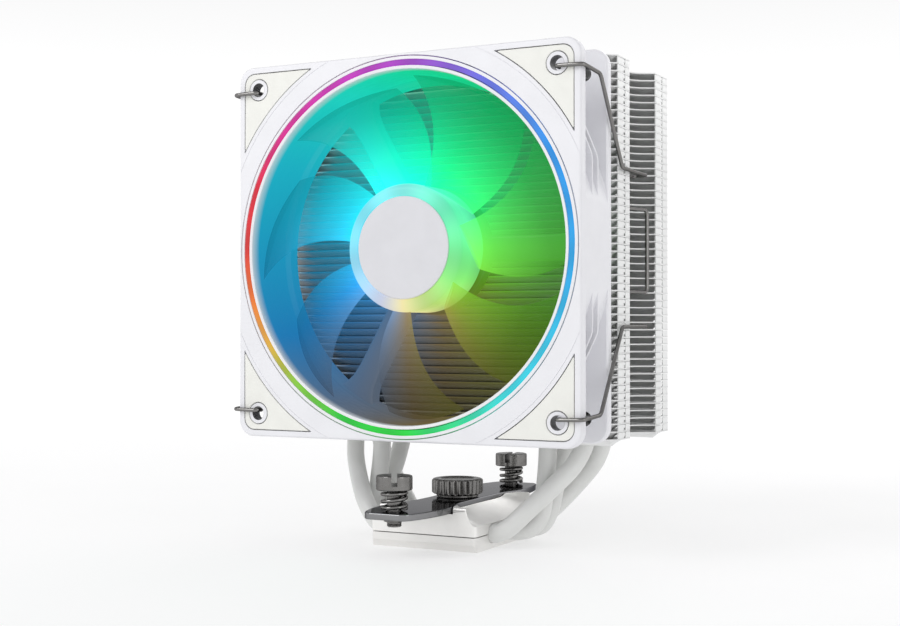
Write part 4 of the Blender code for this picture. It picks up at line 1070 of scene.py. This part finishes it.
def spring_screw(name, y, slot_turn):
    """Slotted screw: a head with a broken edge, a collar, a shank with a clip groove and a threaded end."""
    head_r, collar_r = SCREW_HIGH.x, 2.9 * MM
    top, under, end = SCREW_HIGH.z, HEAD_UNDER_Z, SCREW_LOW.z
    neck_low, neck_high = NECK_ENDS
    upper = [(0, top), (head_r - 0.5 * MM, top), (head_r - 0.15 * MM, top - 0.12 * MM),
             (head_r, top - 0.5 * MM), (head_r, under + 0.2 * MM), (head_r - 0.2 * MM, under),
             (collar_r, under), (collar_r, under - 0.3 * MM), (SHANK_R, under - 0.3 * MM),
             (SHANK_R, neck_high), (NECK_R, neck_high), (NECK_R, neck_low), (SHANK_R, neck_low)]
    thread = threaded(SHANK_R, end + 0.3 * MM, neck_low - 0.05 * MM, THREAD_PITCH, THREAD_DEPTH, y)
    tail = turned_upright([(SHANK_R - 0.35 * MM, end), (0, end)], y, 48)
    grid = np.vstack([turned_upright(upper, y, 48), thread, tail])
    screw = solid(f"{name}_socket_screw", [grid])
    c, s = math.cos(slot_turn), math.sin(slot_turn)
    slot = np.array([(-8, -0.9), (8, -0.9), (8, 0.9), (-8, 0.9)]) * MM
    turned = np.stack([c * slot[:, 0] - s * slot[:, 1], y + s * slot[:, 0] + c * slot[:, 1]], -1)
    return carved(screw, solid(f"{name}_slot", [prism(turned, top - 3 * MM, top + MM, 2)]))


def coil_spring(name, y):
    """Wire carried along a helix whose rise eases at both ends, so that the end turns lie flat."""
    low, high = SPRING_LOW.z + COIL_WIRE_R, SPRING_HIGH.z - COIL_WIRE_R
    share = np.linspace(0, 1, 260)
    rise = 0.12 * share + 0.88 * smooth_step((share - 0.1) / 0.8)
    path = round_upright(SPRING_HIGH.x - COIL_WIRE_R, TAU * COIL_TURNS * share, y, low + (high - low) * rise)
    return solid(f"{name}_coil_spring", [tube(path, COIL_WIRE_R, 14)])


def thumb_nut():
    """Knurled head with broken edges and a plain shank; rows are (radius, z, share of the grooves' depth)."""
    top, under, end = THUMB_HIGH.z, NUT_UNDER_Z, THUMB_LOW.z
    rows = [(0, top - 0.25 * MM, 0), (5.2 * MM, top - 0.25 * MM, 0), (5.6 * MM, top, 0),
            (NUT_R - 0.8 * MM, top, 0), (NUT_R - 0.35 * MM, top - 0.15 * MM, 0.15),
            (NUT_R, top - 0.6 * MM, 1), (NUT_R, under + 0.6 * MM, 1),
            (NUT_R - 0.35 * MM, under + 0.15 * MM, 0.15), (NUT_R - 0.8 * MM, under, 0),
            (NUT_SHANK_R, under, 0), (NUT_SHANK_R, end + 0.4 * MM, 0),
            (NUT_SHANK_R - 0.4 * MM, end, 0), (0, end, 0)]
    radius, height, knurl = np.array(rows).T
    nut = turned_upright(np.stack([radius, height], -1), 0, KNURLS * 12, knurl * KNURL_DEPTH, KNURLS)
    return solid("knurled_thumb_screw", [nut])


def build_screws(steel, wire):
    """Two sprung screws with their springs, and the thumb screw; clip rings and washer keep their solids."""
    for name, y, turn in (("front", -SCREW_Y, -60), ("rear", SCREW_Y, -80)):
        fitted(spring_screw(name, y, math.radians(turn)), steel, f"{name}_screw", "screw_steel",
               f"{name}_spring_screw")
        spring = fitted(coil_spring(name, y), wire, "tower", "screw_steel", f"{name}_screw_spring",
                        weighted=False)
        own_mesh(spring)
    fitted(thumb_nut(), steel, "thumb_screw", "knurled_steel", "thumb_screw", sharp=40)


# ---- wire clips
CLIP_CORNERS = ((52.5, -37.6, 51.5), (52.5, -40.6, 51.5), (61.2, -40.6, 51.3), (61.2, -27.0, 50.6),
                (61.2, -8.5, 24.5), (61.2, 14.0, 24.3), (56.6, 14.0, 24.1), (56.6, 3.4, 24.0),
                (56.6, 3.4, 13.3), (60.4, 16.5, 13.3))


def build_clips(wire):
    """A wire clip on each side: a round wire through its bends, the same above and below the middle."""
    upper = np.array(CLIP_CORNERS) * MM
    route = np.vstack([upper, upper[::-1] * (1, 1, -1)])
    path = curved_corners(route, 1.7 * MM, 7)
    for name, side in (("right", 1), ("left", -1)):
        placed = path * (side, 1, 1) + (0, 0, FAN_Z)
        clip = solid(f"{name}_wire_clip", [tube(placed, WIRE_R, 14)])
        fitted(clip, wire, f"{name}_clip", "clip_wire", f"{name}_fan_clip", weighted=False)


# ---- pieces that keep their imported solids
def finish_kept_nodes(plastic, steel):
    """Finishes for the motor's inner pieces and the small rings."""
    copper = plain_finish("coil copper", (0.72, 0.36, 0.20), 0.34, 1.0, 0.3 * MM)
    bronze = plain_finish("bearing bronze", (0.62, 0.45, 0.22), 0.38, 1.0, 0.4 * MM)
    circuit = plain_finish("circuit board", (0.05, 0.20, 0.10), 0.45, 0.0, 0.6 * MM)
    core = plain_finish("core steel", (0.42, 0.42, 0.43), 0.40, 1.0, 0.5 * MM)
    ferrite = plain_finish("magnet ferrite", (0.06, 0.06, 0.065), 0.62, 0.0, 0.3 * MM)
    disc = plain_finish("blank disc", (0.74, 0.74, 0.76), 0.42, 0.0, 1.2 * MM)
    finishes = {copper: [f"stator_coil_{i}" for i in range(1, 5)], bronze: ["bearing_sleeve"],
                circuit: ["motor_board", "ring_led_board"], core: ["stator_core", "rotor_yoke"],
                ferrite: ["rotor_magnet"], disc: ["mount_blank_disc"], plastic: ["bearing_tube"],
                steel: ["rotor_shaft", "shaft_clip", "front_screw_clip", "rear_screw_clip",
                        "thumb_screw_washer"]}
    for finish, names in finishes.items():
        for name in names:
            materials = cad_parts[name].data.materials
            materials.clear()
            materials.append(finish)


# ---- stage
def floor():
    """A pale round floor that fades into the surroundings away from the cooler."""
    f = Finish("studio floor", (0.90, 0.90, 0.90), Specular_IOR_Level=0.1)
    f.mottled(300 * MM, 0.01).worn(60 * MM, 0.6, 0.7)
    x, y, _ = f.parts_of_place()
    far = f.ramp(f.between(f.length(x, y), 0.0, 1.2), ((0, 0.50), (0.25, 0.62), (1, 1.0)))
    f.shaded(f.math("SUBTRACT", 1.0, far)).glowing(far, WORLD_STRENGTH)
    disc = [(0, 0), (3.0, 0), (3.0, -0.01), (0, -0.01)]
    ground = solid("floor", [turned_upright(disc, 0, 96)])
    ground.data.materials.append(f.material)


def soft_light(name, place, aim, size, power):
    """A square area light turned towards a point."""
    data = bpy.data.lights.new(name, "AREA")
    data.size = size
    data.energy = power
    light = linked(name, data)
    light.location = place
    direction = np.array(aim) - np.array(place)
    light.rotation_euler = (math.atan2(math.hypot(direction[0], direction[1]), -direction[2]), 0,
                            math.atan2(direction[1], direction[0]) - math.pi / 2)


def studio():
    """Pale surroundings, dimmer overhead, and three soft lights."""
    world = bpy.data.worlds.new("pale surroundings")
    world.use_nodes = True
    tree = world.node_tree
    back = tree.nodes["Background"]
    back.inputs["Strength"].default_value = WORLD_STRENGTH
    split = tree.nodes.new("ShaderNodeSeparateXYZ")
    ramp = tree.nodes.new("ShaderNodeValToRGB")
    stops = ((0.15, (1.0, 1.0, 1.0, 1)), (0.5, (0.55, 0.55, 0.56, 1)))
    for element, (position, colour) in zip(ramp.color_ramp.elements, stops):
        element.color = colour
        element.position = position
    tree.links.new(tree.nodes.new("ShaderNodeTexCoord").outputs["Generated"], split.inputs["Vector"])
    tree.links.new(split.outputs["Z"], ramp.inputs["Fac"])
    tree.links.new(ramp.outputs["Color"], back.inputs["Color"])
    bpy.context.scene.world = world
    bpy.context.scene.view_settings.view_transform = "Standard"
    middle = (0, 0, 0.08)
    soft_light("key light", (-0.50, -0.80, 0.70), middle, 0.5, 4)
    soft_light("side light", (0.95, -0.25, 0.30), middle, 0.35, 0.8)
    soft_light("back light", (0.1, 0.9, 0.6), middle, 0.7, 2)


def camera():
    """Camera in front of the fan and to the right of it, a little below its middle."""
    data = bpy.data.cameras.new("camera")
    data.lens = 56.56
    data.sensor_width = 36
    data.clip_start = 0.01
    view = linked("camera", data)
    view.location = (0.2124, -0.4198, 0.0702)
    view.rotation_euler = (math.radians(90.6), 0, math.radians(27.14))
    bpy.context.scene.camera = view


# ---- the whole cooler
camera()
studio()
floor()
frame_plastic = white_frame_plastic()
screw_steel = turned_steel()
wire_steel = spring_wire()
build_fan_frame(frame_plastic, ivory_pad_rubber())
build_ring(frame_plastic, ring_diffuser())
build_rotor(lit_hub_plastic(), frosted_blade_plastic(), cap_plastic())
build_fins(white_fin_paint())
build_pipes(grey_white_pipe_paint())
build_base(satin_nickel(), milled_nickel(), polished_steel())
build_screws(screw_steel, wire_steel)
build_clips(wire_steel)
finish_kept_nodes(frame_plastic, screw_steel)
